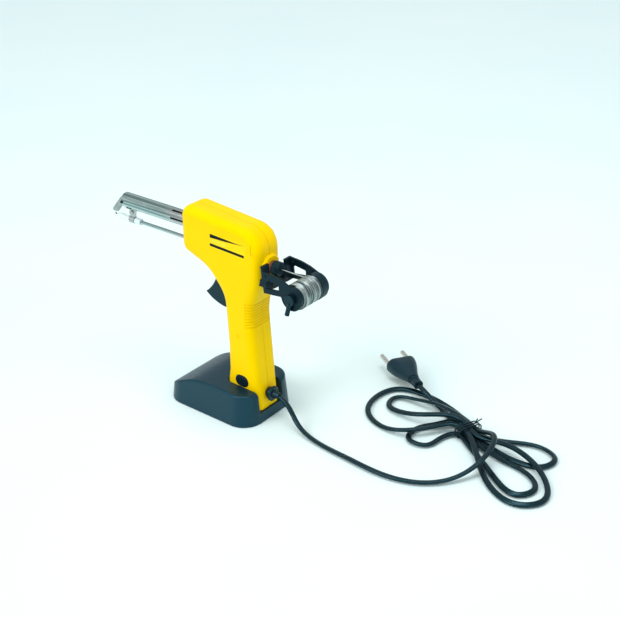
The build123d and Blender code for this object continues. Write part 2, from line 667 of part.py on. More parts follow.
with BuildPart() as inlet_knob:
    add(round_bar((KNOB_FRONT_X, 0, WIRE_Z), (KNOB_REAR_X, 0, WIRE_Z), KNOB_R, 3.45))
    # end wall with the hole the wire enters
    add(round_bar((KNOB_REAR_X - 1.3, 0, WIRE_Z), (KNOB_REAR_X, 0, WIRE_Z), KNOB_R - 0.5, 1.4))
    round_edges = inlet_knob.edges().filter_by(GeomType.CIRCLE)
    end_rims = round_edges.filter_by(lambda e: e.radius > KNOB_R - 0.01)
    chamfer(end_rims, 0.7)
    # grip flutes
    with BuildSketch(Plane.YZ.offset(KNOB_FRONT_X + 1.2)):
        with Locations((0, WIRE_Z)):
            with PolarLocations(KNOB_R + 0.35, 16):
                Circle(0.75)
    extrude(amount=KNOB_REAR_X - KNOB_FRONT_X - 2.4, mode=Mode.SUBTRACT)
inlet_knob.part.label = "inlet_knob"
export_step(inlet_knob.part, "parts/inlet_knob.step")

# ---------------------------------------------------------------- spool bracket
SEAT_X = 53.0  # where the screws sit on the bracket's foot
FOOT_Z = (120.3, 126.0)
WING_LOW = (52.6, 120.3)  # front edge of the wings at their foot
WING_LEAN = -0.15  # how far the wings lean forward for each millimetre of height
WING_T = 2.0
ARM_OUT_Y = ARM_Y + ARM_T

with BuildPart() as spool_bracket:
    # foot against the body's rear face, under the inlet boss
    add(side_plate(((40, FOOT_Z[0]), (SEAT_X, FOOT_Z[0]), (SEAT_X, FOOT_Z[1]), (40, FOOT_Z[1])), -10.2, 10.2))
    arm_side = (
        WING_LOW, (61.4, 120.9), (68.7, 121.8), (72.0, 116.0), (SPOOL_AXIS[0], SPOOL_AXIS[1] - ARM_DISC_R),
        (SPOOL_AXIS[0], 131.7), (70.3, 134.9), (61.7, 136.7), (50.3, 137.6),
    )
    window_side = ((55.3, 124.3), (67.0, 125.9), (66.6, 130.2), (57.0, 131.6), (54.6, 129.8))
    # wings that lean forward and carry the arms; the left one ends in a tab
    for side, wing_height in ((-1, 20.7), (1, 17.2)):
        wing_top = (WING_LOW[0] + WING_LEAN * wing_height, WING_LOW[1] + wing_height)
        rear_low = (WING_LOW[0] + WING_T, WING_LOW[1])
        rear_top = (wing_top[0] + WING_T, wing_top[1])
        add(side_plate((WING_LOW, rear_low, rear_top, wing_top), 0, side * ARM_OUT_Y))
        add(side_plate(arm_side, side * ARM_Y, side * ARM_OUT_Y))
        add(cross_bar(SPOOL_AXIS, side * ARM_Y, side * ARM_OUT_Y, ARM_DISC_R))
        add(side_plate(window_side, side * (ARM_Y - 0.5), side * (ARM_OUT_Y + 0.5)), mode=Mode.SUBTRACT)
        # spare hole above the window
        add(cross_bar((54.4, 134.4), side * (ARM_Y - 0.5), side * (ARM_OUT_Y + 0.5), 0.8), mode=Mode.SUBTRACT)
    add(housing_block(-FIT, EDGE_ROUND), mode=Mode.SUBTRACT)
    # gap round the inlet boss and the knob, open at the top
    with BuildSketch(Plane.YZ.offset(38)):
        with Locations((0, WIRE_Z)):
            boss_gap = Rectangle(BOSS_SIZE + 0.6, BOSS_SIZE + 0.6)
        chamfer(boss_gap.vertices(), 5.0)
        with Locations((0, WIRE_Z + 8)):
            Rectangle(BOSS_SIZE + 0.6, 16)
    extrude(amount=20, mode=Mode.SUBTRACT)
    # holes for the spool's pin and the screws, whose heads sit in flat pockets
    add(cross_bar(SPOOL_AXIS, -25, 25, AXLE_PIN_R + SLIP), mode=Mode.SUBTRACT)
    for side in (-1, 1):
        screw_y = side * BRACKET_SCREW_Y
        add(round_bar((38, screw_y, BRACKET_SCREW_Z), (56, screw_y, BRACKET_SCREW_Z), 1.3), mode=Mode.SUBTRACT)
        head_room = round_bar((SEAT_X, screw_y, BRACKET_SCREW_Z), (58, screw_y, BRACKET_SCREW_Z), 2.3)
        add(head_room, mode=Mode.SUBTRACT)
spool_bracket.part.label = "spool_bracket"
export_step(spool_bracket.part, "parts/spool_bracket.step")

with BuildPart() as bracket_base_screws:
    for side in (-1, 1):
        screw_y = side * BRACKET_SCREW_Y
        tip = (BRACKET_SCREW_TIP_X, screw_y, BRACKET_SCREW_Z)
        seat = (SEAT_X + 0.05, screw_y, BRACKET_SCREW_Z)
        top = (SEAT_X + 1.45, screw_y, BRACKET_SCREW_Z)
        add(round_bar(tip, seat, 1.0))
        add(round_bar(seat, top, 2.1))
        with BuildSketch(Plane.YZ.offset(SEAT_X + 1.45)):
            with Locations((screw_y, BRACKET_SCREW_Z)):
                Rectangle(2.6, 0.5)
                Rectangle(0.5, 2.6)
        extrude(amount=-0.7, mode=Mode.SUBTRACT)
bracket_base_screws.part.label = "bracket_base_screws"
export_step(bracket_base_screws.part, "parts/bracket_base_screws.step")

# ---------------------------------------------------------------- spool and solder
with BuildPart() as spool:
    with BuildSketch(Plane(origin=(SPOOL_AXIS[0], 0, SPOOL_AXIS[1]), x_dir=(1, 0, 0), z_dir=(0, 0, 1))):
        with BuildLine():
            Polyline(
                (AXLE_PIN_R + SLIP, -15.2), (9.0, -15.2), (9.0, -12.9), (4.5, -12.9), (4.5, 8.4), (10.4, 8.4),
                (10.4, 14.6), (9.9, 15.2), (AXLE_PIN_R + SLIP, 15.2),
                close=True,
            )
        make_face()
    revolve(axis=Axis((SPOOL_AXIS[0], 0, SPOOL_AXIS[1]), (0, 1, 0)))
spool.part.label = "spool"
export_step(spool.part, "parts/spool.step")

with BuildPart() as solder_coil:
    add(cross_bar(SPOOL_AXIS, -12.8, 8.3, COIL_R, 4.6))
    round_edges = solder_coil.edges().filter_by(GeomType.CIRCLE)
    coil_rims = round_edges.filter_by(lambda e: e.radius > COIL_R - 0.01)
    fillet(coil_rims, 0.5)
solder_coil.part.label = "solder_coil"
export_step(solder_coil.part, "parts/solder_coil.step")

WIRE_FRONT_X = -121.0

with BuildPart() as solder_wire:
    add(round_bar((WIRE_FRONT_X, 0, WIRE_Z), (SPOOL_AXIS[0], 0, WIRE_Z), WIRE_R))
solder_wire.part.label = "solder_wire"
export_step(solder_wire.part, "parts/solder_wire.step")

with BuildPart() as spool_pin:
    add(cross_bar(SPOOL_AXIS, -18.0, 18.2, AXLE_PIN_R))
    add(cross_bar(SPOOL_AXIS, -20.0, -17.1, 4.2))
    # short lever that hangs from the pin's head
    add(round_bar((SPOOL_AXIS[0], -18.9, SPOOL_AXIS[1] - 2.5), (SPOOL_AXIS[0] - 2.0, -19.6, 110.4), 1.8))
spool_pin.part.label = "spool_pin"
export_step(spool_pin.part, "parts/spool_pin.step")

with BuildPart() as spool_pin_clip:
    add(cross_bar(SPOOL_AXIS, ARM_OUT_Y + FIT, ARM_OUT_Y + 0.8, 3.6, AXLE_PIN_R + 0.02))
    clip_gap = (
        (SPOOL_AXIS[0] - 1.2, 126.5),
        (SPOOL_AXIS[0] + 1.2, 126.5),
        (SPOOL_AXIS[0] + 1.2, 123.0),
        (SPOOL_AXIS[0] - 1.2, 123.0),
    )
    add(side_plate(clip_gap, ARM_OUT_Y, ARM_OUT_Y + 1), mode=Mode.SUBTRACT)
spool_pin_clip.part.label = "spool_pin_clip"
export_step(spool_pin_clip.part, "parts/spool_pin_clip.step")

# ---------------------------------------------------------------- release button
BUTTON_FACE_Y = -14.7

with BuildPart() as release_button:
    with BuildSketch(Plane.XZ.offset(-BUTTON_FACE_Y)):
        with Locations(BUTTON_SPOT):
            SlotOverall(BUTTON_LENGTH, BUTTON_HEIGHT)
    extrude(amount=BUTTON_FACE_Y + 11.0)
    fillet(release_button.faces().sort_by(Axis.Y)[0].edges(), 0.8)
    # flange that keeps it in the shell, and a peg inside the spring
    with BuildSketch(Plane.XZ.offset(11.5)):
        with Locations(BUTTON_SPOT):
            SlotOverall(BUTTON_LENGTH + 1.4, BUTTON_HEIGHT + 1.4)
    extrude(amount=-1.1)
    add(cross_bar(BUTTON_SPOT, -10.6, -9.4, 1.3))
release_button.part.label = "release_button"
export_step(release_button.part, "parts/release_button.step")

with BuildPart() as button_spring:
    add(coil_spring((BUTTON_SPOT[0], -10.1, BUTTON_SPOT[1]), (0, 1, 0), 4.8, 2.0, 0.5, 4))
button_spring.part.label = "button_spring"
export_step(button_spring.part, "parts/button_spring.step")

# ---------------------------------------------------------------- wiring inside the handle
BLOCK_X = (18.0, 31.0)
BLOCK_Z = (40.2, 52.0)
TERMINAL_SCREW_Z = (43.0, 49.2)
RELIEF_END_X = 52.5

with BuildPart() as terminal_block:
    block_side = (
        (BLOCK_X[0], BLOCK_Z[0]),
        (BLOCK_X[1], BLOCK_Z[0]),
        (BLOCK_X[1], BLOCK_Z[1]),
        (BLOCK_X[0], BLOCK_Z[1]),
    )
    add(side_plate(block_side, -6.5, 6.5))
    for block_y in (-3.2, 3.2):
        bottom = (24.5, block_y, BLOCK_Z[0] - 1)
        top = (24.5, block_y, BLOCK_Z[1] + 1)
        add(round_bar(bottom, top, 2.0), mode=Mode.SUBTRACT)
        for screw_z in TERMINAL_SCREW_Z:
            add(round_bar((25, block_y, screw_z), (33, block_y, screw_z), 1.22), mode=Mode.SUBTRACT)
terminal_block.part.label = "terminal_block"
export_step(terminal_block.part, "parts/terminal_block.step")

with BuildPart() as terminal_screws:
    for block_y in (-3.2, 3.2):
        for screw_z in TERMINAL_SCREW_Z:
            add(round_bar((26.4, block_y, screw_z), (31.3, block_y, screw_z), 1.2))
terminal_screws.part.label = "terminal_screws"
export_step(terminal_screws.part, "parts/terminal_screws.step")

with BuildPart() as heater_leads:
    for side in (-1, 1):
        with BuildLine():
            lead_path = FilletPolyline(
                (-18.6, side * 1.5, BARREL_Z),
                (-15.0, side * 1.5, BARREL_Z),
                (-6.0, side * 9.0, 151.0),
                (10.0, side * 9.0, 148.0),
                (28.0, side * 9.0, 130.0),
                (30.3, side * 9.0, 112.0),
                (30.3, side * 7.0, 66.0),
                (24.5, side * 3.2, 56.0),
                (24.5, side * 3.2, 47.0),
                radius=2.5,
            )
        with BuildSketch(Plane(origin=lead_path @ 0, z_dir=lead_path % 0)):
            Circle(0.8)
        sweep(path=lead_path)
heater_leads.part.label = "heater_leads"
export_step(heater_leads.part, "parts/heater_leads.step")

LEAD_SPLIT_Z = 33.0

with BuildPart() as mains_lead:
    # inner end of the cord, from the strain relief to where its cores part
    with BuildLine(Plane.XZ):
        inner_start = (RELIEF_END_X - 0.5, RELIEF_Z)
        inner_path = FilletPolyline(inner_start, (24.5, RELIEF_Z), (24.5, LEAD_SPLIT_Z), radius=7.0)
    with BuildSketch(Plane(origin=inner_path @ 0, z_dir=inner_path % 0)):
        Circle(CORD_R)
    sweep(path=inner_path)
mains_lead.part.label = "mains_lead"
export_step(mains_lead.part, "parts/mains_lead.step")

with BuildPart() as mains_cores:
    for side in (-1, 1):
        with BuildLine():
            core_path = Spline(
                (24.5, side * 0.9, LEAD_SPLIT_Z + 0.05),
                (24.5, side * 3.2, 45.0),
                tangents=((0, 0, 1), (0, 0, 1)),
            )
        with BuildSketch(Plane(origin=core_path @ 0, z_dir=core_path % 0)):
            Circle(0.8)
        sweep(path=core_path)
mains_cores.part.label = "mains_cores"
export_step(mains_cores.part, "parts/mains_cores.step")

with BuildPart() as cord_clamp:
    bar_side = (
        (CLAMP_X[0], CLAMP_TOP_Z),
        (CLAMP_X[1], CLAMP_TOP_Z),
        (CLAMP_X[1], CLAMP_TOP_Z + 1.8),
        (CLAMP_X[0], CLAMP_TOP_Z + 1.8),
    )
    add(side_plate(bar_side, -9.0, 9.0))
    for side in (-1, 1):
        hole = (CLAMP_MIDDLE_X, side * CLAMP_SCREW_Y, 20.0)
        hole_top = (CLAMP_MIDDLE_X, side * CLAMP_SCREW_Y, 30.0)
        add(round_bar(hole, hole_top, 1.0), mode=Mode.SUBTRACT)
cord_clamp.part.label = "cord_clamp"
export_step(cord_clamp.part, "parts/cord_clamp.step")

with BuildPart() as clamp_screws:
    for side in (-1, 1):
        foot = (CLAMP_MIDDLE_X, side * CLAMP_SCREW_Y, 17.0)
        seat = (CLAMP_MIDDLE_X, side * CLAMP_SCREW_Y, CLAMP_TOP_Z + 1.85)
        top = (CLAMP_MIDDLE_X, side * CLAMP_SCREW_Y, CLAMP_TOP_Z + 3.2)
        add(round_bar(foot, seat, 0.9))
        add(round_bar(seat, top, 1.8))
clamp_screws.part.label = "clamp_screws"
export_step(clamp_screws.part, "parts/clamp_screws.step")

with BuildPart() as strain_relief:
    with BuildSketch(Plane.XZ):
        with BuildLine():
            Polyline(
                (35.6, RELIEF_Z + CORD_R + SLIP),
                (35.6, RELIEF_Z + 4.6),
                (37.8, RELIEF_Z + 4.6),
                (37.8, RELIEF_Z + 3.85),
                (41.8, RELIEF_Z + 3.85),
                (41.8, RELIEF_Z + 4.6),
                (44.6, RELIEF_Z + 4.6),
                (44.6, RELIEF_Z + 6.2),
                (46.0, RELIEF_Z + 6.2),
                (46.8, RELIEF_Z + 5.2),
                (46.8, RELIEF_Z + 3.4),
                (RELIEF_END_X, RELIEF_Z + 2.6),
                (RELIEF_END_X, RELIEF_Z + CORD_R + SLIP),
                close=True,
            )
        make_face()
    revolve(axis=Axis((0, 0, RELIEF_Z), (1, 0, 0)))
strain_relief.part.label = "strain_relief"
export_step(strain_relief.part, "parts/strain_relief.step")

# ---------------------------------------------------------------- stand
STAND_RIM_Z = 0.6
STAND_TAPER = 6.0
SOCKET_HALF = HALF + 0.35
SOCKET_FRONT_X = 7.6
STAND_SCREW_SPOTS = ((-31.0, -18.5), (-31.0, 18.5), (31.5, -22.0), (31.5, 22.0))
COVER_Z = (1.0, 3.4)


def stand_block(inset):
    """The foot's outer form, shrunk by inset at the sides and top."""
    with BuildPart() as block:
        with BuildSketch(Plane.XY.offset(STAND_RIM_Z)):
            RectangleRounded(STAND_LENGTH - 2 * inset, STAND_WIDTH - 2 * inset, STAND_CORNER - inset)
        extrude(amount=30.0, taper=STAND_TAPER)
        with BuildSketch(Plane.XZ.offset(STAND_WIDTH)):
            with BuildLine():
                slope = Spline(
                    (-47.0, 3.5 - inset), (-40.0, 13.0 - inset), (-22.0, 23.2 - inset), (10.0, 27.6 - inset),
                    tangents=((0.45, 0.9), (1, 0)),
                )
                back = FilletPolyline(slope @ 1, (43.6 - inset, 27.0 - inset), (45.5 - inset, -1.0), radius=7.0)
                Polyline(back @ 1, (-47.0, -1.0), slope @ 0)
            make_face()
        extrude(amount=-2 * STAND_WIDTH, mode=Mode.INTERSECT)
    return block.part


with BuildPart() as stand_solid:
    add(stand_block(0.0))
    crease = stand_solid.edges().filter_by(lambda e: e.center().Z > 6.0)
    fillet(crease, 2.0)

with BuildPart() as stand_hollow:
    add(stand_block(STAND_WALL))
    # kept solid round the socket and under the four screw posts
    with BuildSketch(Plane.XY):
        with Locations(((SOCKET_FRONT_X - STAND_WALL + 50) / 2, 0)):
            Rectangle(50 - SOCKET_FRONT_X + STAND_WALL, 2 * (SOCKET_HALF + STAND_WALL))
    extrude(amount=40, mode=Mode.SUBTRACT)
    with BuildSketch(Plane.XY.offset(COVER_Z[1] + 0.05)):
        with Locations(*STAND_SCREW_SPOTS):
            Circle(3.2)
    extrude(amount=40, mode=Mode.SUBTRACT)
    # open below the socket's floor
    with BuildSketch(Plane.XY.offset(STAND_RIM_Z)):
        with Locations((23.0, 0)):
            Rectangle(36, 2 * SOCKET_HALF)
    extrude(amount=SOCKET_FLOOR_Z - STAND_RIM_Z - STAND_WALL)

with BuildPart() as stand_base:
    add(stand_solid.part)
    add(stand_hollow.part, mode=Mode.SUBTRACT)
    # socket for the handle's foot, open to the rear
    with BuildSketch(Plane.XY.offset(SOCKET_FLOOR_Z)):
        with Locations(((SOCKET_FRONT_X + 60) / 2, 0)):
            RectangleRounded(60 - SOCKET_FRONT_X, 2 * SOCKET_HALF, EDGE_ROUND - 0.5)
    extrude(amount=30, mode=Mode.SUBTRACT)
    with BuildSketch(Plane.XY.offset(-1)):
        with Locations(*STAND_SCREW_SPOTS):
            Circle(1.15)
    extrude(amount=12, mode=Mode.SUBTRACT)
    # recess for the bottom cover
    with BuildSketch(Plane.XY.offset(-1)):
        RectangleRounded(STAND_LENGTH - 2 * STAND_WALL, STAND_WIDTH - 2 * STAND_WALL, STAND_CORNER - STAND_WALL)
    extrude(amount=COVER_Z[1] + 1.05, mode=Mode.SUBTRACT)
stand_base.part.label = "stand_base"
export_step(stand_base.part, "parts/stand_base.step")

with BuildPart() as stand_bottom_cover:
    with BuildSketch(Plane.XY.offset(COVER_Z[0])):
        cover_gap = STAND_WALL + 0.15
        RectangleRounded(STAND_LENGTH - 2 * cover_gap, STAND_WIDTH - 2 * cover_gap, STAND_CORNER - cover_gap)
    extrude(amount=COVER_Z[1] - COVER_Z[0])
    with BuildSketch(Plane.XY.offset(COVER_Z[0])):
        with Locations(*STAND_SCREW_SPOTS):
            Circle(1.3)
    extrude(amount=5, mode=Mode.SUBTRACT)
    with BuildSketch(Plane.XY.offset(COVER_Z[0])):
        with Locations(*STAND_SCREW_SPOTS):
            Circle(2.6)
    extrude(amount=1.2, mode=Mode.SUBTRACT)
stand_bottom_cover.part.label = "stand_bottom_cover"
export_step(stand_bottom_cover.part, "parts/stand_bottom_cover.step")

with BuildPart() as stand_screws:
    for spot in STAND_SCREW_SPOTS:
        add(round_bar((spot[0], spot[1], 1.1), (spot[0], spot[1], 2.15), 2.4))
        add(round_bar((spot[0], spot[1], 2.15), (spot[0], spot[1], 10.0), 1.1))
stand_screws.part.label = "stand_screws"
export_step(stand_screws.part, "parts/stand_screws.step")

with BuildPart() as stand_pad:
    with BuildSketch(Plane.XY):
        RectangleRounded(54.0, 34.0, 9.0)
    extrude(amount=COVER_Z[0])
stand_pad.part.label = "stand_pad"
export_step(stand_pad.part, "parts/stand_pad.step")

# ---------------------------------------------------------------- cord on the table
CORD_Z = CORD_R + 0.7
TIE_SPOT = (184.5, 70.0)
ALONG = (0.9, -0.43)  # the bundle's direction at the tie
ACROSS = (0.43, 0.9)
STRAND_PITCH = 5.0
LAYER_Z = (3.3, 7.8)


def strand(slot, layer, along, lift=0.0):
    """A point of one strand of the bundle, at a distance along it from the tie."""
    offset_across = slot * STRAND_PITCH
    x = TIE_SPOT[0] + along * ALONG[0] + offset_across * ACROSS[0]
    y = TIE_SPOT[1] + along * ALONG[1] + offset_across * ACROSS[1]
    return (x, y, LAYER_Z[layer] + lift)


CORD_POINTS = (
    # from the gun down to the table and out to the bundle, over its right-hand strands
    (RELIEF_END_X + 0.3, 0.0, RELIEF_Z),
    (60.0, -0.8, 17.5),
    (74.0, -5.0, 7.0),
    (94.0, -10.0, CORD_Z),
    (128.0, -13.5, CORD_Z),
    (162.0, -14.5, CORD_Z),
    (187.0, -7.0, CORD_Z),
    (207.0, 12.0, 4.5),
    (217.0, 40.0, 13.5),
    (208.0, 65.0, 14.5),
    strand(1, 1, 8, 1.0),
    strand(1, 1, -8),
    # narrow loop to the left
    (150.0, 84.0, 8.5),
    (126.0, 85.0, 4.5),
    (110.0, 80.0, CORD_Z),
    (112.0, 67.5, CORD_Z),
    (128.0, 62.0, 4.5),
    (150.0, 65.0, 9.5),
    strand(0, 1, -10, 2.6),
    strand(0, 1, 8),
    # outer loop to the lower right
    (214.0, 68.0, 7.6),
    (238.0, 64.0, 7.3),
    (261.0, 50.0, 3.8),
    (270.0, 28.0, CORD_Z),
    (257.0, 14.0, CORD_Z),
    (236.0, 18.0, CORD_Z),
    (214.0, 36.0, 5.4),
    strand(-1, 1, 8),
    strand(-1, 1, -8),
    # wide loop to the left
    (158.0, 52.0, 7.0),
    (147.0, 41.0, 6.4),
    (128.0, 38.0, CORD_Z),
    (105.0, 48.0, CORD_Z),
    (97.0, 70.0, CORD_Z),
    (104.0, 92.0, CORD_Z),
    (126.0, 98.0, CORD_Z),
    (154.0, 93.0, CORD_Z),
    strand(1.5, 0, -8),
    strand(1.5, 0, 8),
    # loop to the right
    (216.0, 80.0, CORD_Z),
    (240.0, 88.0, CORD_Z),
    (254.0, 80.0, CORD_Z),
    (251.0, 66.0, CORD_Z),
    (234.0, 60.0, CORD_Z),
    (212.0, 63.0, CORD_Z),
    strand(0.5, 0, 8),
    strand(0.5, 0, -3, 0.3),
    # small loop to the lower left
    strand(0.2, 0, -13, 2.6),
    (161.0, 65.0, 5.2),
    (149.0, 52.0, CORD_Z),
    (152.0, 36.0, CORD_Z),
    (166.0, 37.0, CORD_Z),
    (171.0, 54.0, CORD_Z),
    strand(-1.6, 0, -3),
    strand(-1.6, 0, 8),
    # inner loop to the lower right
    (212.0, 44.0, CORD_Z),
    (232.0, 30.0, CORD_Z),
    (252.0, 24.0, CORD_Z),
    (259.0, 36.0, CORD_Z),
    (248.0, 50.0, CORD_Z),
    (226.0, 55.0, CORD_Z),
    strand(-0.5, 0, 8),
    strand(-0.4, 0, -7, -0.7),
    # out of the bundle to the plug
    (160.0, 82.0, CORD_Z),
    (144.0, 90.0, 3.6),
    (130.0, 92.5, 9.8),
    (123.0, 95.0, 11.5),
)

CORD_SECTIONS = 8
cord_path = Spline(*CORD_POINTS)

with BuildPart() as power_cord:
    # swept in sections that meet end to end along one smooth path
    for section in range(CORD_SECTIONS):
        stretch = cord_path.trim(section / CORD_SECTIONS, (section + 1) / CORD_SECTIONS)
        with BuildSketch(Plane(origin=stretch @ 0, z_dir=stretch % 0)):
            Circle(CORD_R)
        sweep(path=stretch)
power_cord.part.label = "power_cord"
export_step(power_cord.part, "parts/power_cord.step")

TIE_WIRE = 0.9
TIE_INNER = (22.2, 10.6)
TIE_MIDDLE_Z = TIE_INNER[1] / 2 + TIE_WIRE + 0.05

with BuildPart() as cord_tie:
    # flat band round the bundle, with its two twisted ends standing up
    tie_plane = Plane(origin=(*TIE_SPOT, TIE_MIDDLE_Z), x_dir=(*ACROSS, 0), z_dir=(*ALONG, 0))
    with BuildSketch(tie_plane.offset(-1.2)):
        RectangleRounded(TIE_INNER[0] + 2 * TIE_WIRE, TIE_INNER[1] + 2 * TIE_WIRE, 4.0)
        RectangleRounded(*TIE_INNER, 3.1, mode=Mode.SUBTRACT)
    extrude(amount=2.4)
    tie_top_z = TIE_INNER[1] + 1.5 * TIE_WIRE
    twist_foot = (TIE_SPOT[0] + 2.6, TIE_SPOT[1] + 5.4, tie_top_z)
    add(round_bar(twist_foot, (192.0, 80.0, 17.0), 0.8))
    add(round_bar(twist_foot, (187.0, 82.0, 16.0), 0.8))
cord_tie.part.label = "cord_tie"
export_step(cord_tie.part, "parts/cord_tie.step")

# ---------------------------------------------------------------- plug
PLUG_AXIS = (-0.84, 0.54, 0)
PLUG_SIDEWAYS = (0.54, 0.84, 0)
PLUG_LENGTH = 37.0
PIN_R = 2.0
PLUG_SECTIONS = ((0.8, 8.0, 7.0), (13.0, 10.5, 9.0), (21.0, 16.5, 12.0), (PLUG_LENGTH, 26.0, 13.7))
PIN_LENGTH = 19.0
PIN_SPACING = 19.0
plug_start = Plane(origin=CORD_POINTS[-1], x_dir=PLUG_SIDEWAYS, z_dir=PLUG_AXIS)

with BuildPart() as plug_body:
    for distance, width, height in PLUG_SECTIONS:
        with BuildSketch(plug_start.offset(distance)):
            RectangleRounded(width, height, height / 2 - 0.6)
    loft()
    # grip ridges of the cord guard
    for distance in (2.0, 4.6, 7.2, 9.8):
        with BuildSketch(plug_start.offset(distance)):
            RectangleRounded(30, 30, 3)
            RectangleRounded(7.6, 6.6, 2.8, mode=Mode.SUBTRACT)
        extrude(amount=1.1, mode=Mode.SUBTRACT)
plug_body.part.label = "plug_body"
export_step(plug_body.part, "parts/plug_body.step")

with BuildPart() as plug_pins:
    with BuildSketch(plug_start.offset(PLUG_LENGTH + 0.02)):
        with Locations((-PIN_SPACING / 2, 0), (PIN_SPACING / 2, 0)):
            Circle(PIN_R)
    extrude(amount=PIN_LENGTH)
    fillet(plug_pins.faces().group_by(Axis((0, 0, 0), PLUG_AXIS))[-1].edges(), 1.2)
plug_pins.part.label = "plug_pins"
export_step(plug_pins.part, "parts/plug_pins.step")
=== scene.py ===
import json
from math import cos, pi, radians, sin

import bmesh
import bpy
import numpy as np
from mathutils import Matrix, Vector


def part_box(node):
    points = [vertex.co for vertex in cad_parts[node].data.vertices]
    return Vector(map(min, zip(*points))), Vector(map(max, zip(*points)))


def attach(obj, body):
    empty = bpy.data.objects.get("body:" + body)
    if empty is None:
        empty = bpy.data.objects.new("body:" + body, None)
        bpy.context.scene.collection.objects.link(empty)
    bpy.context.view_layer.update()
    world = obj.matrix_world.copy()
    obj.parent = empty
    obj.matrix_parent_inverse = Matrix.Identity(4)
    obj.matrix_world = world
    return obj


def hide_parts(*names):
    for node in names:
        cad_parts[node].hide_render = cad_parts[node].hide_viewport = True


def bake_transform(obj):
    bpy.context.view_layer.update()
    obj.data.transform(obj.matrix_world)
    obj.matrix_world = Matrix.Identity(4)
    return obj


# The looks of a pistol-shaped soldering gun that feeds its own solder, in its table stand.
# Metres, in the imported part's frame: +Z up, -X the way the tip points, Y = 0 the gun's mid-plane.

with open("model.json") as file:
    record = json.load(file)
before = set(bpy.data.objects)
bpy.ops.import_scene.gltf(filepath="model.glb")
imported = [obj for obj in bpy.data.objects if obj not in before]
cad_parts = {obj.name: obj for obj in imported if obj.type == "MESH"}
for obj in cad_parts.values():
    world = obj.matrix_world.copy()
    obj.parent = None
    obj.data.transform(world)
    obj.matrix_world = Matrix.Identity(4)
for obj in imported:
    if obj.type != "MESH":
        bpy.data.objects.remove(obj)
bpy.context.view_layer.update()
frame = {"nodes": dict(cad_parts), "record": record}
nodes = frame["nodes"]
record = frame["record"]

MM = 0.001
UP = Vector((0, 0, 1))


# ---------------------------------------------------------------- procedural materials
class Look:
    """A node material: a Principled shader, with short calls that build what feeds it."""

    def __init__(self, name, colour, roughness, metallic=0.0, **inputs):
        self.material = bpy.data.materials.new(name)
        self.material.use_nodes = True
        self.material.diffuse_color = (*colour, 1)
        self.tree = self.material.node_tree
        self.shader = self.tree.nodes["Principled BSDF"]
        self.colour = (*colour, 1)
        self.feed(self.shader, "Base Color", self.colour)
        self.feed(self.shader, "Roughness", roughness)
        self.feed(self.shader, "Metallic", metallic)
        for key, value in inputs.items():
            self.feed(self.shader, key.replace("_", " ").title().replace("Ior", "IOR"), value)
        self.normal = None

    def feed(self, node, socket, value):
        """Sets an input to a value, or links it to another node's output."""
        if isinstance(value, bpy.types.NodeSocket):
            self.tree.links.new(value, node.inputs[socket])
        else:
            node.inputs[socket].default_value = value

    def node(self, kind, inputs=(), **settings):
        made = self.tree.nodes.new("ShaderNode" + kind)
        for key, value in settings.items():
            setattr(made, key, value)
        for socket, value in dict(inputs).items():
            self.feed(made, socket, value)
        return made

    def place(self, stretch=(1, 1, 1)):
        """The point's place on the piece, in metres, stretched along the axes."""
        spot = self.node("TexCoord").outputs["Object"]
        return self.node("Mapping", {"Vector": spot, "Scale": stretch}).outputs["Vector"]

    def noise(self, size, detail=3.0, stretch=(1, 1, 1), rough=0.55):
        """Cloudy noise, 0 to 1, whose patches are about size metres across."""
        inputs = {"Vector": self.place(stretch), "Scale": 1 / size, "Detail": detail, "Roughness": rough}
        return self.node("TexNoise", inputs).outputs["Fac"]

    def spread(self, value, low, high, from_low=0.3, from_high=0.7):
        inputs = {"Value": value, "From Min": from_low, "From Max": from_high, "To Min": low, "To Max": high}
        return self.node("MapRange", inputs).outputs["Result"]

    def along(self, axis, start, end):
        """0 where the piece is at start along an axis (0, 1 or 2), growing to 1 at end."""
        parts = self.node("SeparateXYZ", {"Vector": self.place()})
        return self.spread(parts.outputs[axis], 0.0, 1.0, start, end)

    def mix(self, share, first, second):
        mixer = self.node("Mix", data_type="RGBA")
        self.tree.links.new(share, mixer.inputs["Factor"])
        for socket, value in ((6, first), (7, second)):
            if isinstance(value, bpy.types.NodeSocket):
                self.tree.links.new(value, mixer.inputs[socket])
            else:
                mixer.inputs[socket].default_value = (*value[:3], 1)
        return mixer.outputs[2]

    def paint(self, colour):
        self.feed(self.shader, "Base Color", colour)

    def bump(self, height, depth):
        """Raises the surface by height times depth metres, on top of earlier bumps."""
        made = self.node("Bump", {"Height": height, "Distance": depth, "Strength": 1.0})
        if self.normal:
            self.feed(made, "Normal", self.normal)
        self.normal = made.outputs["Normal"]
        self.feed(self.shader, "Normal", self.normal)

    def soft_edges(self, radius):
        """Rounds the shading of sharp edges, as moulding or tumbling leaves them."""
        self.normal = self.node("Bevel", {"Radius": radius}, samples=4).outputs["Normal"]
        self.feed(self.shader, "Normal", self.normal)

    def edge_wear(self, radius, light, share=0.5):
        """Lets the lighter, rubbed colour show along the edges."""
        rounded = self.node("Bevel", {"Radius": radius}, samples=4).outputs["Normal"]
        flat = self.node("NewGeometry").outputs["Normal"]
        likeness = self.node("VectorMath", {0: rounded, 1: flat}, operation="DOT_PRODUCT").outputs["Value"]
        worn = self.spread(likeness, share, 0.0, 0.75, 0.98)
        patchy = self.node("Math", {0: worn, 1: self.noise(0.003)}, operation="MULTIPLY").outputs["Value"]
        base = self.shader.inputs["Base Color"]
        under = base.links[0].from_socket if base.links else self.colour
        self.paint(self.mix(patchy, under, light))


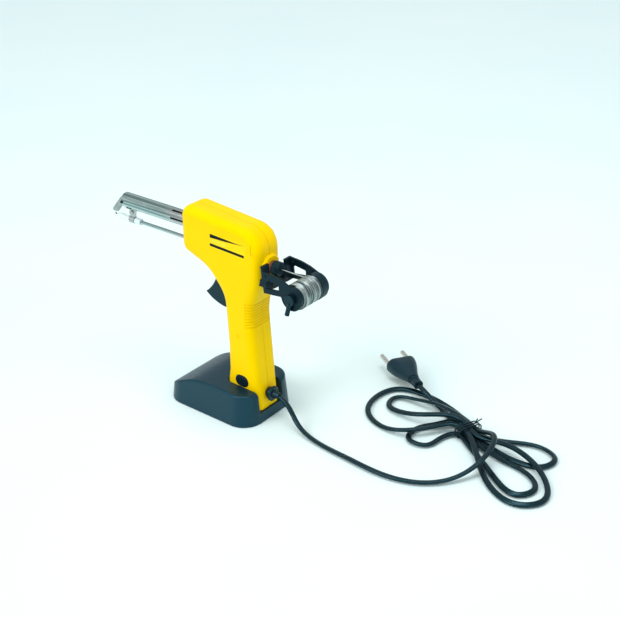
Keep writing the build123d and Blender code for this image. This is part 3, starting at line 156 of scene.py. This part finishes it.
def moulded(name, colour, roughness, grain, edge=0.0003, light=None, **inputs):
    """Injection-moulded plastic: faint flow clouds, a fine spark-eroded grain and rubbed edges."""
    look = Look(name, colour, roughness, **inputs)
    light = light or tuple(min(1.0, c * 1.6 + 0.02) for c in colour)
    dark = tuple(c * 0.93 for c in colour)
    look.paint(look.mix(look.spread(look.noise(0.025), 0.0, 1.0), dark, look.colour))
    look.feed(look.shader, "Roughness", look.spread(look.noise(0.004), roughness - 0.05, roughness + 0.06))
    look.soft_edges(edge)
    look.bump(look.noise(0.0006, 2.0), grain)
    look.bump(look.noise(0.012, 2.0), grain * 4)
    look.edge_wear(edge * 2, light)
    return look


def metal(name, colour, roughness, stretch=(1, 1, 1), grain=0.00001, tone=0.75):
    """Metal with fine drawing or brushing lines along the axis that stretch shrinks."""
    look = Look(name, colour, roughness, 1.0)
    lines = look.noise(0.0005, 4.0, stretch)
    dark = tuple(c * tone for c in colour)
    clouds = look.spread(look.noise(0.006), 0.0, 1.0)
    look.paint(look.mix(clouds, look.mix(look.spread(lines, 0.0, 1.0), dark, look.colour), look.colour))
    look.feed(look.shader, "Roughness", look.spread(lines, roughness - 0.07, roughness + 0.1))
    look.soft_edges(0.00015)
    look.bump(lines, grain)
    return look


YELLOW_GLINT = (1.0, 0.75, 0.0, 1)
TEAL_GLINT = (0.28, 0.80, 1.0, 1)


def yellow_plastic():
    look = moulded(
        "yellow_plastic", (1.0, 0.65, 0.0), 0.42, 0.000012, 0.0004, (1.0, 0.78, 0.02),
        specular_ior_level=0.15, specular_tint=YELLOW_GLINT,
    )
    # painted shade: the lower handle is painted a deeper orange, growing towards the bottom
    depth = look.along(2, 0.16, 0.02)
    base = look.shader.inputs["Base Color"].links[0].from_socket
    shaded_orange = look.mix(look.spread(look.noise(0.05), 0.2, 1.0), (0.99, 0.62, 0.0), (1.0, 0.65, 0.0))
    look.paint(look.mix(depth, base, shaded_orange))
    return look


def stand_plastic():
    """The table foot: dark blue-green plastic whose top shines softly."""
    return moulded(
        "stand_plastic", (0.004, 0.020, 0.036), 0.38, 0.00002, 0.0005, (0.03, 0.07, 0.09),
        specular_ior_level=0.6, specular_tint=TEAL_GLINT,
    )


def barrel_steel():
    """Stainless tube with drawing lines along its length, browned where it runs hot by the housing."""
    look = metal("barrel_steel", (0.50, 0.64, 0.62), 0.24, (0.02, 1, 1), 0.000008, 0.72)
    drawn = look.spread(look.noise(0.0035, 2.0, (0.01, 1, 1)), 0.0, 1.0, 0.44, 0.56)
    base = look.mix(drawn, (0.20, 0.28, 0.28), look.shader.inputs["Base Color"].links[0].from_socket)
    straw = look.mix(look.spread(look.noise(0.008), 0.3, 1.0), (0.52, 0.50, 0.47), (0.46, 0.44, 0.44))
    look.paint(look.mix(look.along(0, -0.062, -0.036), base, straw))
    return look


def solder_metal():
    """Dull drawn solder, with bands across the turns on the spool painted nearly black as painted shade in the
    creases between them.
    """
    look = metal("solder", (0.56, 0.64, 0.62), 0.42, (1, 1, 1), 0.00002, 0.6)
    base = look.shader.inputs["Base Color"].links[0].from_socket
    # painted shade: bands one turn wide, painted nearly black for the creases between turns
    turns = look.spread(look.noise(0.0013, 4.0, (0.04, 1, 0.04), 0.7), 0.0, 1.0, 0.40, 0.56)
    look.paint(look.mix(turns, (0.05, 0.08, 0.09), base))
    return look


def ptfe():
    """Waxy white tube that lets a little light through."""
    look = Look("white_ptfe", (0.80, 0.90, 0.93), 0.28, ior=1.35)
    cloudy = look.mix(look.spread(look.noise(0.002), 0.0, 1.0), (0.72, 0.86, 0.90), (0.90, 0.95, 0.96))
    look.paint(cloudy)
    look.feed(look.shader, "Subsurface Weight", 0.3)
    look.feed(look.shader, "Subsurface Scale", 0.002)
    look.soft_edges(0.0003)
    look.bump(look.noise(0.0012), 0.00002)
    return look


def rubber(name, colour, roughness, grain=0.00003):
    """Soft PVC: even and slightly glossy, with dust in patches."""
    look = Look(name, colour, roughness, specular_tint=TEAL_GLINT, coat_weight=0.08, coat_roughness=0.12)
    dusty = tuple(c + 0.006 for c in colour)
    look.paint(look.mix(look.spread(look.noise(0.01), 0.0, 0.6, 0.45, 0.75), look.colour, dusty))
    look.feed(look.shader, "Roughness", look.spread(look.noise(0.003), roughness - 0.06, roughness + 0.08))
    look.soft_edges(0.0003)
    look.bump(look.noise(0.0008, 2.0), grain)
    return look


def woven_sleeve():
    """Woven glass sleeve over the heater's leads."""
    look = Look("lead_sleeve", (0.80, 0.77, 0.70), 0.85, sheen_weight=0.4)
    spot = look.place()
    waves = [
        look.node("TexWave", {"Vector": spot, "Scale": 900.0}, wave_type="BANDS", bands_direction=axis).outputs["Fac"]
        for axis in "XZ"
    ]
    weave = look.node("Math", {0: waves[0], 1: waves[1]}, operation="MULTIPLY").outputs["Value"]
    look.paint(look.mix(weave, (0.62, 0.58, 0.50), look.colour))
    look.bump(weave, 0.0001)
    return look


def ceramic():
    """The heater's core, painted nearly black as painted shade, so the slots in the barrel read dark inside."""
    look = Look("ceramic", (0.045, 0.038, 0.032), 0.8)
    look.paint(look.mix(look.spread(look.noise(0.003), 0.0, 1.0), (0.02, 0.017, 0.015), look.colour))
    look.bump(look.noise(0.0005), 0.00003)
    return look


BLACK = (0.003, 0.012, 0.019)
LOOKS = {
    "yellow_plastic": yellow_plastic(),
    "black_plastic": moulded(
        "black_plastic", BLACK, 0.34, 0.000015, specular_ior_level=0.35, specular_tint=TEAL_GLINT
    ),
    "bracket_plastic": moulded(
        "bracket_plastic", (0.002, 0.007, 0.012), 0.40, 0.00002, specular_ior_level=0.3, specular_tint=TEAL_GLINT
    ),
    "button_plastic": moulded(
        "button_plastic", (0.003, 0.008, 0.014), 0.28, 0.00001, specular_ior_level=0.3, specular_tint=TEAL_GLINT
    ),
    "stand_plastic": stand_plastic(),
    "white_ptfe": ptfe(),
    "white_plastic": moulded("white_plastic", (0.85, 0.85, 0.80), 0.35, 0.00001),
    "red_brown_plastic": moulded("red_brown_plastic", (0.20, 0.045, 0.012), 0.5, 0.00002),
    "core_insulation": moulded("core_insulation", (0.05, 0.12, 0.5), 0.35, 0.00001),
    "lead_sleeve": woven_sleeve(),
    "barrel_steel": barrel_steel(),
    "zinc_steel": metal("zinc_steel", (0.50, 0.54, 0.53), 0.36),
    "spring_steel": metal("spring_steel", (0.42, 0.43, 0.45), 0.3),
    "black_steel": metal("black_steel", (0.05, 0.05, 0.055), 0.42),
    "tip_plating": metal("tip_plating", (0.42, 0.48, 0.46), 0.42, (1, 1, 1), 0.00003, 0.6),
    "ceramic": ceramic(),
    "brass": metal("brass", (0.72, 0.52, 0.22), 0.3),
    "plug_pin_brass": metal("plug_pin_brass", (0.70, 0.68, 0.62), 0.2),
    "solder": solder_metal(),
    "cord_rubber": rubber("cord_rubber", (0.001, 0.006, 0.009), 0.30),
    "relief_rubber": rubber("relief_rubber", (0.003, 0.009, 0.014), 0.42),
    "plug_rubber": rubber("plug_rubber", (0.004, 0.014, 0.024), 0.45, 0.00005),
    "pad_rubber": rubber("pad_rubber", (0.03, 0.03, 0.033), 0.8, 0.0002),
    "tie_plastic": rubber("tie_plastic", (0.003, 0.007, 0.011), 0.35),
}
LOOKS["label_black"] = moulded("label_black", (0.002, 0.003, 0.004), 0.5, 0.000004, specular_ior_level=0.15)
LOOKS["label_film"] = moulded("label_film", (1.0, 0.69, 0.0), 0.3, 0.000004, specular_tint=YELLOW_GLINT)
LOOKS["label_green"] = moulded("label_green", (0.86, 0.74, 0.03), 0.3, 0.000004, specular_tint=YELLOW_GLINT)


def finish(obj, slot, look=None):
    """Gives a piece the material of the record's slot, or of the look named instead."""
    obj.data.materials.clear()
    obj.data.materials.append(LOOKS[look or slot].material)


for subpart in record["subparts"]:
    finish(nodes[subpart["node"]], subpart["material_slot"])


# ---------------------------------------------------------------- mesh helpers
def new_object(name, mesh, smooth=True):
    obj = bpy.data.objects.new(name, mesh)
    bpy.context.scene.collection.objects.link(obj)
    for polygon in mesh.polygons:
        polygon.use_smooth = smooth
    return obj


def tube(name, path, profile, roll=None):
    """A closed tube along path. profile is a ring of (sideways, upwards) offsets from the path."""
    path = np.asarray(path, float)
    profile = np.asarray(profile, float)
    tangents = np.gradient(path, axis=0)
    tangents /= np.linalg.norm(tangents, axis=1)[:, None]
    verts = []
    side = None
    for i, (point, tangent) in enumerate(zip(path, tangents)):
        if side is None:
            side = np.cross(tangent, (0, 0, 1)) if abs(tangent[2]) < 0.9 else np.cross(tangent, (0, 1, 0))
        if roll is None:
            side = side - tangent * (side @ tangent)
        else:
            side = np.cross(tangent, (0, 0, 1))
        side /= np.linalg.norm(side)
        upward = np.cross(side, tangent)
        turn = 0.0 if roll is None else roll[i]
        across = side * cos(turn) + upward * sin(turn)
        above = upward * cos(turn) - side * sin(turn)
        verts.extend(point + a * across + b * above for a, b in profile)
    count = len(profile)
    faces = []
    for i in range(len(path) - 1):
        for j in range(count):
            k = (j + 1) % count
            faces.append((i * count + j, i * count + k, (i + 1) * count + k, (i + 1) * count + j))
    faces.append(tuple(range(count))[::-1])
    last = (len(path) - 1) * count
    faces.append(tuple(last + j for j in range(count)))
    mesh = bpy.data.meshes.new(name)
    mesh.from_pydata([tuple(v) for v in verts], [], faces)
    tidy = bmesh.new()
    tidy.from_mesh(mesh)
    bmesh.ops.recalc_face_normals(tidy, faces=tidy.faces)
    tidy.to_mesh(mesh)
    tidy.free()
    return new_object(name, mesh)


def ring(radius, count=12):
    return [(radius * cos(2 * pi * k / count), radius * sin(2 * pi * k / count)) for k in range(count)]


def smooth_path(points, step):
    """A cubic spline through points, spaced by their distances, sampled about every step."""
    p = np.asarray(points, float)
    gaps = np.linalg.norm(np.diff(p, axis=0), axis=1)
    knots = np.concatenate(([0.0], np.cumsum(gaps)))
    n = len(p)
    matrix = np.eye(n)
    right = np.zeros((n, 3))
    for i in range(1, n - 1):
        before, after = gaps[i - 1], gaps[i]
        matrix[i, i - 1 : i + 2] = before, 2 * (before + after), after
        right[i] = 6 * ((p[i + 1] - p[i]) / after - (p[i] - p[i - 1]) / before)
    bend = np.linalg.solve(matrix, right)
    spots = np.linspace(0, knots[-1], int(knots[-1] / step) + 1)
    cell = np.clip(np.searchsorted(knots, spots, side="right") - 1, 0, n - 2)
    h = gaps[cell][:, None]
    a = (knots[cell + 1] - spots)[:, None]
    b = (spots - knots[cell])[:, None]
    curve = (bend[cell] * a**3 + bend[cell + 1] * b**3) / (6 * h)
    curve += (p[cell] / h - bend[cell] * h / 6) * a + (p[cell + 1] / h - bend[cell + 1] * h / 6) * b
    return curve


def sheet(name, outline, y_from, y_to):
    """A thin flat plate drawn in the side view, (x, z) in millimetres, between two Y planes."""
    mesh = bpy.data.meshes.new(name)
    count = len(outline)
    verts = [(x * MM, y * MM, z * MM) for y in (y_from, y_to) for x, z in outline]
    faces = [tuple(range(count)), tuple(range(2 * count - 1, count - 1, -1))]
    faces += [(k, (k + 1) % count, count + (k + 1) % count, count + k) for k in range(count)]
    mesh.from_pydata(verts, [], faces)
    tidy = bmesh.new()
    tidy.from_mesh(mesh)
    bmesh.ops.recalc_face_normals(tidy, faces=tidy.faces)
    tidy.to_mesh(mesh)
    tidy.free()
    return new_object(name, mesh, smooth=False)


# ---------------------------------------------------------------- label on the left side
SIDE_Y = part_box("housing_left")[0].y / MM
LABEL_TILT = radians(-2.4)
LABEL_SPOT = (-3.0, 147.3)  # middle of the front edge


def label_points(points):
    """Points measured along and up the label, turned to its tilt, as side-view (x, z)."""
    c, s = cos(LABEL_TILT), sin(LABEL_TILT)
    return [(LABEL_SPOT[0] + u * c - v * s, LABEL_SPOT[1] + u * s + v * c) for u, v in points]


def rounded_box(length, height, radius, corner_points=5):
    """Outline of a rounded rectangle that starts at u = 0 and is centred on v = 0."""
    points = []
    for cu, cv, start in (
        (length - radius, height / 2 - radius, 0),
        (radius, height / 2 - radius, 90),
        (radius, radius - height / 2, 180),
        (length - radius, radius - height / 2, 270),
    ):
        for k in range(corner_points):
            angle = radians(start + 90 * k / (corner_points - 1))
            points.append((cu + radius * cos(angle), cv + radius * sin(angle)))
    return points


def label():
    """A sticker with two black stripes, one of them pointed, and a pale patch between them."""
    prints = {
        "label_sheet": (rounded_box(36.5, 12.0, 1.0), 0.10, "label_film", "yellow_plastic"),
        "label_stripe_upper": (
            ((0.6, 5.2), (0.6, 2.0), (15.5, 3.1), (35.6, 5.3), (26.0, 4.9), (15.0, 5.1)),
            0.13, "label_black", "black_plastic",
        ),
        "label_stripe_lower": (
            ((0.6, -2.6), (0.6, -4.9), (34.6, -4.7), (34.6, -2.6)),
            0.13, "label_black", "black_plastic",
        ),
        "label_patch": (((3.2, 1.5), (2.6, -1.5), (17.0, -1.3), (18.0, 1.5)), 0.12, "label_green", "yellow_plastic"),
    }
    for name, (outline, proud, look, slot) in prints.items():
        piece = sheet(name, label_points(outline), SIDE_Y + 0.05, SIDE_Y - proud)
        finish(piece, slot, look)
        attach(piece, "gun")


label()


# ---------------------------------------------------------------- solder on the spool
COIL_WIRE_R = 0.5 * MM


def wound_solder():
    """The solder wound side by side, in an outer and an inner layer, with one loose gap."""
    low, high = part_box("solder_coil")
    axis_x = (low.x + high.x) / 2
    axis_z = (low.z + high.z) / 2
    radius = (high.x - low.x) / 2 - COIL_WIRE_R
    width = high.y - low.y
    steps = 64
    made = []
    for layer, (layer_radius, turns) in enumerate(((radius, 19), (radius - 0.85 * MM, 18.5))):
        count = int(turns * steps)
        gap = 0.55 * MM if layer == 0 else 0.0
        pitch = (width - 2 * COIL_WIRE_R - gap) / turns
        points = []
        for i in range(count + 1):
            turn = i / steps
            angle = 2 * pi * turn * (1 if layer == 0 else -1) + pi / 2
            settle = min(1.0, max(0.0, (turn - 9.7) / 0.5))
            wander = 0.07 * MM * sin(2.3 * turn + 1.7 * sin(0.9 * turn)) + 0.03 * MM * sin(17.0 * turn)
            y = low.y + COIL_WIRE_R + pitch * turn + gap * settle + wander
            y = min(max(y, low.y + COIL_WIRE_R), high.y - COIL_WIRE_R)
            r = layer_radius - 0.05 * MM * (1 + sin(5.1 * turn + layer))
            points.append((axis_x + r * cos(angle), y, axis_z + r * sin(angle)))
        made.append(tube(f"solder_winding_{layer}", points, ring(COIL_WIRE_R, 8)))
    outer, inner = made
    for piece in made:
        finish(piece, "solder")
        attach(piece, "spool")
    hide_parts("solder_coil")


def fed_wire():
    """The solder from the coil, through the gun, to just past the nozzle."""
    low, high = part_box("solder_wire")
    z = (low.z + high.z) / 2
    coil_low, coil_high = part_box("solder_coil")
    axis_x = (coil_low.x + coil_high.x) / 2
    axis_z = (coil_low.z + coil_high.z) / 2
    lie = z - axis_z
    points = [(low.x + 0.2 * MM, 0, z + 1.2 * MM), (low.x + 1.4 * MM, 0, z + 0.35 * MM), (low.x + 3.4 * MM, 0, z)]
    points += [(x, 0, z) for x in np.linspace(low.x + 8 * MM, axis_x, 60)]
    for k in range(1, 8):
        turn = radians(5 * k)
        r = lie - 0.06 * MM * k
        points.append((axis_x + r * sin(turn), 0, axis_z + r * cos(turn)))
    wire = tube("solder_feed", points, ring(0.5 * MM, 12))
    finish(wire, "solder")
    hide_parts("solder_wire")
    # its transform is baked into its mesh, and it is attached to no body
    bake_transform(wire)


wound_solder()
fed_wire()


# ---------------------------------------------------------------- cord
TIE_SPOT = (184.5, 70.0)
ALONG = (0.9, -0.43)  # the bundle's direction at the tie
ACROSS = (0.43, 0.9)
STRAND_PITCH = 5.0
LAYER_Z = (3.3, 7.8)
TABLE_Z = 2.5  # height of the cord's middle where it lies on the table


def strand(slot, layer, along, lift=0.0):
    """A point of one strand of the bundle, at a distance along it from the tie."""
    across = slot * STRAND_PITCH
    x = TIE_SPOT[0] + along * ALONG[0] + across * ACROSS[0]
    y = TIE_SPOT[1] + along * ALONG[1] + across * ACROSS[1]
    return (x, y, LAYER_Z[layer] + lift)


RELIEF_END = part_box("strain_relief")[1].x / MM
CORD_POINTS = (
    # from the gun down to the table and out to the bundle, over its right-hand strands
    (RELIEF_END - 0.7, 0.0, 21.5), (60.0, -0.8, 17.5), (74.0, -5.0, 7.0), (94.0, -10.0, TABLE_Z),
    (128.0, -13.5, TABLE_Z), (162.0, -14.5, TABLE_Z), (187.0, -7.0, TABLE_Z), (207.0, 12.0, 4.5),
    (217.0, 40.0, 13.5), (208.0, 65.0, 14.5), strand(1, 1, 8, 1.0), strand(1, 1, -8),
    # narrow loop to the left
    (150.0, 84.0, 8.5), (126.0, 85.0, 4.5), (110.0, 80.0, TABLE_Z), (112.0, 67.5, TABLE_Z),
    (128.0, 62.0, 4.5), (150.0, 65.0, 9.5), strand(0, 1, -10, 2.6), strand(0, 1, 8),
    # outer loop to the lower right
    (214.0, 68.0, 7.6), (238.0, 64.0, 7.3), (261.0, 50.0, 3.8), (270.0, 28.0, TABLE_Z),
    (257.0, 14.0, TABLE_Z), (236.0, 18.0, TABLE_Z), (214.0, 36.0, 5.4), strand(-1, 1, 8), strand(-1, 1, -8),
    # wide loop to the left
    (158.0, 52.0, 7.0), (147.0, 41.0, 6.4), (128.0, 38.0, TABLE_Z), (105.0, 48.0, TABLE_Z),
    (97.0, 70.0, TABLE_Z), (104.0, 92.0, TABLE_Z), (126.0, 98.0, TABLE_Z), (154.0, 93.0, TABLE_Z),
    strand(1.5, 0, -8), strand(1.5, 0, 8),
    # loop to the right
    (216.0, 80.0, TABLE_Z), (240.0, 88.0, TABLE_Z), (254.0, 80.0, TABLE_Z), (251.0, 66.0, TABLE_Z),
    (234.0, 60.0, TABLE_Z), (212.0, 63.0, TABLE_Z), strand(0.5, 0, 8), strand(0.5, 0, -3, 0.3),
    # small loop to the lower left
    strand(0.2, 0, -13, 2.6), (161.0, 65.0, 5.2), (149.0, 52.0, TABLE_Z), (152.0, 36.0, TABLE_Z),
    (166.0, 37.0, TABLE_Z), (171.0, 54.0, TABLE_Z), strand(-1.6, 0, -3), strand(-1.6, 0, 8),
    # inner loop to the lower right
    (212.0, 44.0, TABLE_Z), (232.0, 30.0, TABLE_Z), (252.0, 24.0, TABLE_Z), (259.0, 36.0, TABLE_Z),
    (248.0, 50.0, TABLE_Z), (226.0, 55.0, TABLE_Z), strand(-0.5, 0, 8), strand(-0.4, 0, -7, -0.7),
    # out of the bundle to the plug
    (160.0, 82.0, TABLE_Z), (144.0, 90.0, 3.6), (130.0, 92.5, 9.8), (122.2, 95.5, 11.5),
)
CORD_HALF_WIDTH = 2.25 * MM
CORD_HALF_HEIGHT = 1.5 * MM


def cord_profile(points=20):
    """Section of a flat two-core cord: a flattened oval with a faint groove between the cores."""
    outline = []
    for k in range(points):
        angle = 2 * pi * k / points
        c, s = cos(angle), sin(angle)
        wide = CORD_HALF_WIDTH * np.sign(c) * abs(c) ** 0.75
        high = CORD_HALF_HEIGHT * np.sign(s) * abs(s) ** 0.85 * (1 - 0.10 * (1 - abs(c)) ** 3)
        outline.append((wide, high))
    return outline


def cord():
    """The mains cord: its first stretch hangs from the gun, and the rest lies on the table."""
    path = smooth_path(np.array(CORD_POINTS) * MM, 1.5 * MM)
    length = np.arange(len(path)) * 1.5
    roll = 0.35 * np.sin(length / 71.0) + 0.22 * np.sin(length / 29.0 + 1.0)
    landing = int(np.argmax(path[:, 0] > 0.125))
    lead = tube("cord_lead", path[: landing + 1], cord_profile(), roll[: landing + 1])
    rest = tube("cord_coiled", path[landing:], cord_profile(), roll[landing:])
    for piece in (lead, rest):
        finish(piece, "cord_rubber")
    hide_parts("power_cord")
    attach(rest, "stand")
    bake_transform(lead)


def cord_tie():
    """Coated wire wound twice round the bundle, its two ends twisted and sticking up."""
    centre = np.array((TIE_SPOT[0], TIE_SPOT[1], 5.8)) * MM
    along = np.array((*ALONG, 0.0)) / np.hypot(*ALONG)
    across = np.array((*ACROSS, 0.0)) / np.hypot(*ACROSS)
    points = []
    turns = 2.35
    for i in range(int(turns * 40)):
        angle = 2 * pi * i / 40 + 0.9
        c, s = cos(angle), sin(angle)
        wide = 10.9 * MM * np.sign(c) * abs(c) ** 0.6
        high_z = 4.9 * MM * np.sign(s) * abs(s) ** 0.6
        drift = (i / 40 - 1.2) * 2.6 * MM
        points.append(centre + across * wide + along * drift + np.array((0, 0, high_z)))
    band = tube("tie_band", points, ring(0.55 * MM, 8))
    ends = []
    foot = np.array((187.1, 75.4, 10.6)) * MM
    for name, tip in (("tie_end_a", (191.0, 79.0, 14.6)), ("tie_end_b", (187.0, 79.5, 12.6))):
        tip = np.array(tip) * MM
        middle = (foot + tip) / 2 + np.array((0.3, -0.8, 0.6)) * MM
        ends.append(tube(name, smooth_path([foot, middle, tip], 0.5 * MM), ring(0.5 * MM, 8)))
    for piece in (band, *ends):
        finish(piece, "tie_plastic")
        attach(piece, "stand")
    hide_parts("cord_tie")


cord()
cord_tie()


# ---------------------------------------------------------------- floor, light and camera
def floor():
    look = Look("floor_paper", (0.80, 0.95, 0.955), 0.6, specular_ior_level=0.25)
    look.paint(look.mix(look.spread(look.noise(0.35, 2.0), 0.0, 1.0), (0.78, 0.94, 0.945), (0.83, 0.955, 0.96)))
    look.bump(look.noise(0.004, 3.0), 0.00002)
    mesh = bpy.data.meshes.new("floor")
    half = 6.0
    mesh.from_pydata([(-half, -half, 0), (half, -half, 0), (half, half, 0), (-half, half, 0)], [], [(0, 1, 2, 3)])
    plane = new_object("floor", mesh, smooth=False)
    plane.data.materials.append(look.material)


def aim(obj, target):
    obj.rotation_mode = "QUATERNION"
    obj.rotation_quaternion = (Vector(target) - obj.location).to_track_quat("-Z", "Y")


def sun(name, place, strength, angle, colour=(1, 1, 1)):
    data = bpy.data.lights.new(name, "SUN")
    data.energy = strength
    data.angle = radians(angle)
    data.color = colour
    lamp = bpy.data.objects.new(name, data)
    bpy.context.scene.collection.objects.link(lamp)
    lamp.location = place
    aim(lamp, (0, 0, 0))


def softbox(name, place, target, size, power):
    data = bpy.data.lights.new(name, "AREA")
    data.shape = "RECTANGLE"
    data.size, data.size_y = size
    data.energy = power
    lamp = bpy.data.objects.new(name, data)
    bpy.context.scene.collection.objects.link(lamp)
    lamp.location = place
    aim(lamp, target)


def lighting():
    """A bright room: even light all round, a soft key from the front left and a lamp overhead."""
    world = bpy.data.worlds.new("room")
    bpy.context.scene.world = world
    world.use_nodes = True
    background = world.node_tree.nodes["Background"]
    background.inputs["Color"].default_value = (0.93, 0.99, 1.0, 1)
    background.inputs["Strength"].default_value = 0.64
    sun("key", (-0.6, -1.5, 1.3), 1.25, 30)
    sun("fill", (1.4, -0.5, 0.9), 0.35, 50)
    softbox("overhead", (0.2, -0.1, 1.3), (0.05, 0, 0.1), (0.7, 0.5), 6)
    bpy.context.scene.view_settings.view_transform = "Standard"


def camera():
    """The eye stands 27.6 degrees above the table and 37.5 degrees round from the left side."""
    data = bpy.data.cameras.new("camera")
    data.sensor_width = 36.0
    data.lens = 63.87
    data.clip_start = 0.01
    eye = bpy.data.objects.new("camera", data)
    bpy.context.scene.collection.objects.link(eye)
    eye.location = (0.5228, -0.5736, 0.4877)
    aim(eye, eye.location + Vector((-0.5395, 0.7031, -0.4633)))
    bpy.context.scene.camera = eye


floor()
lighting()
camera()
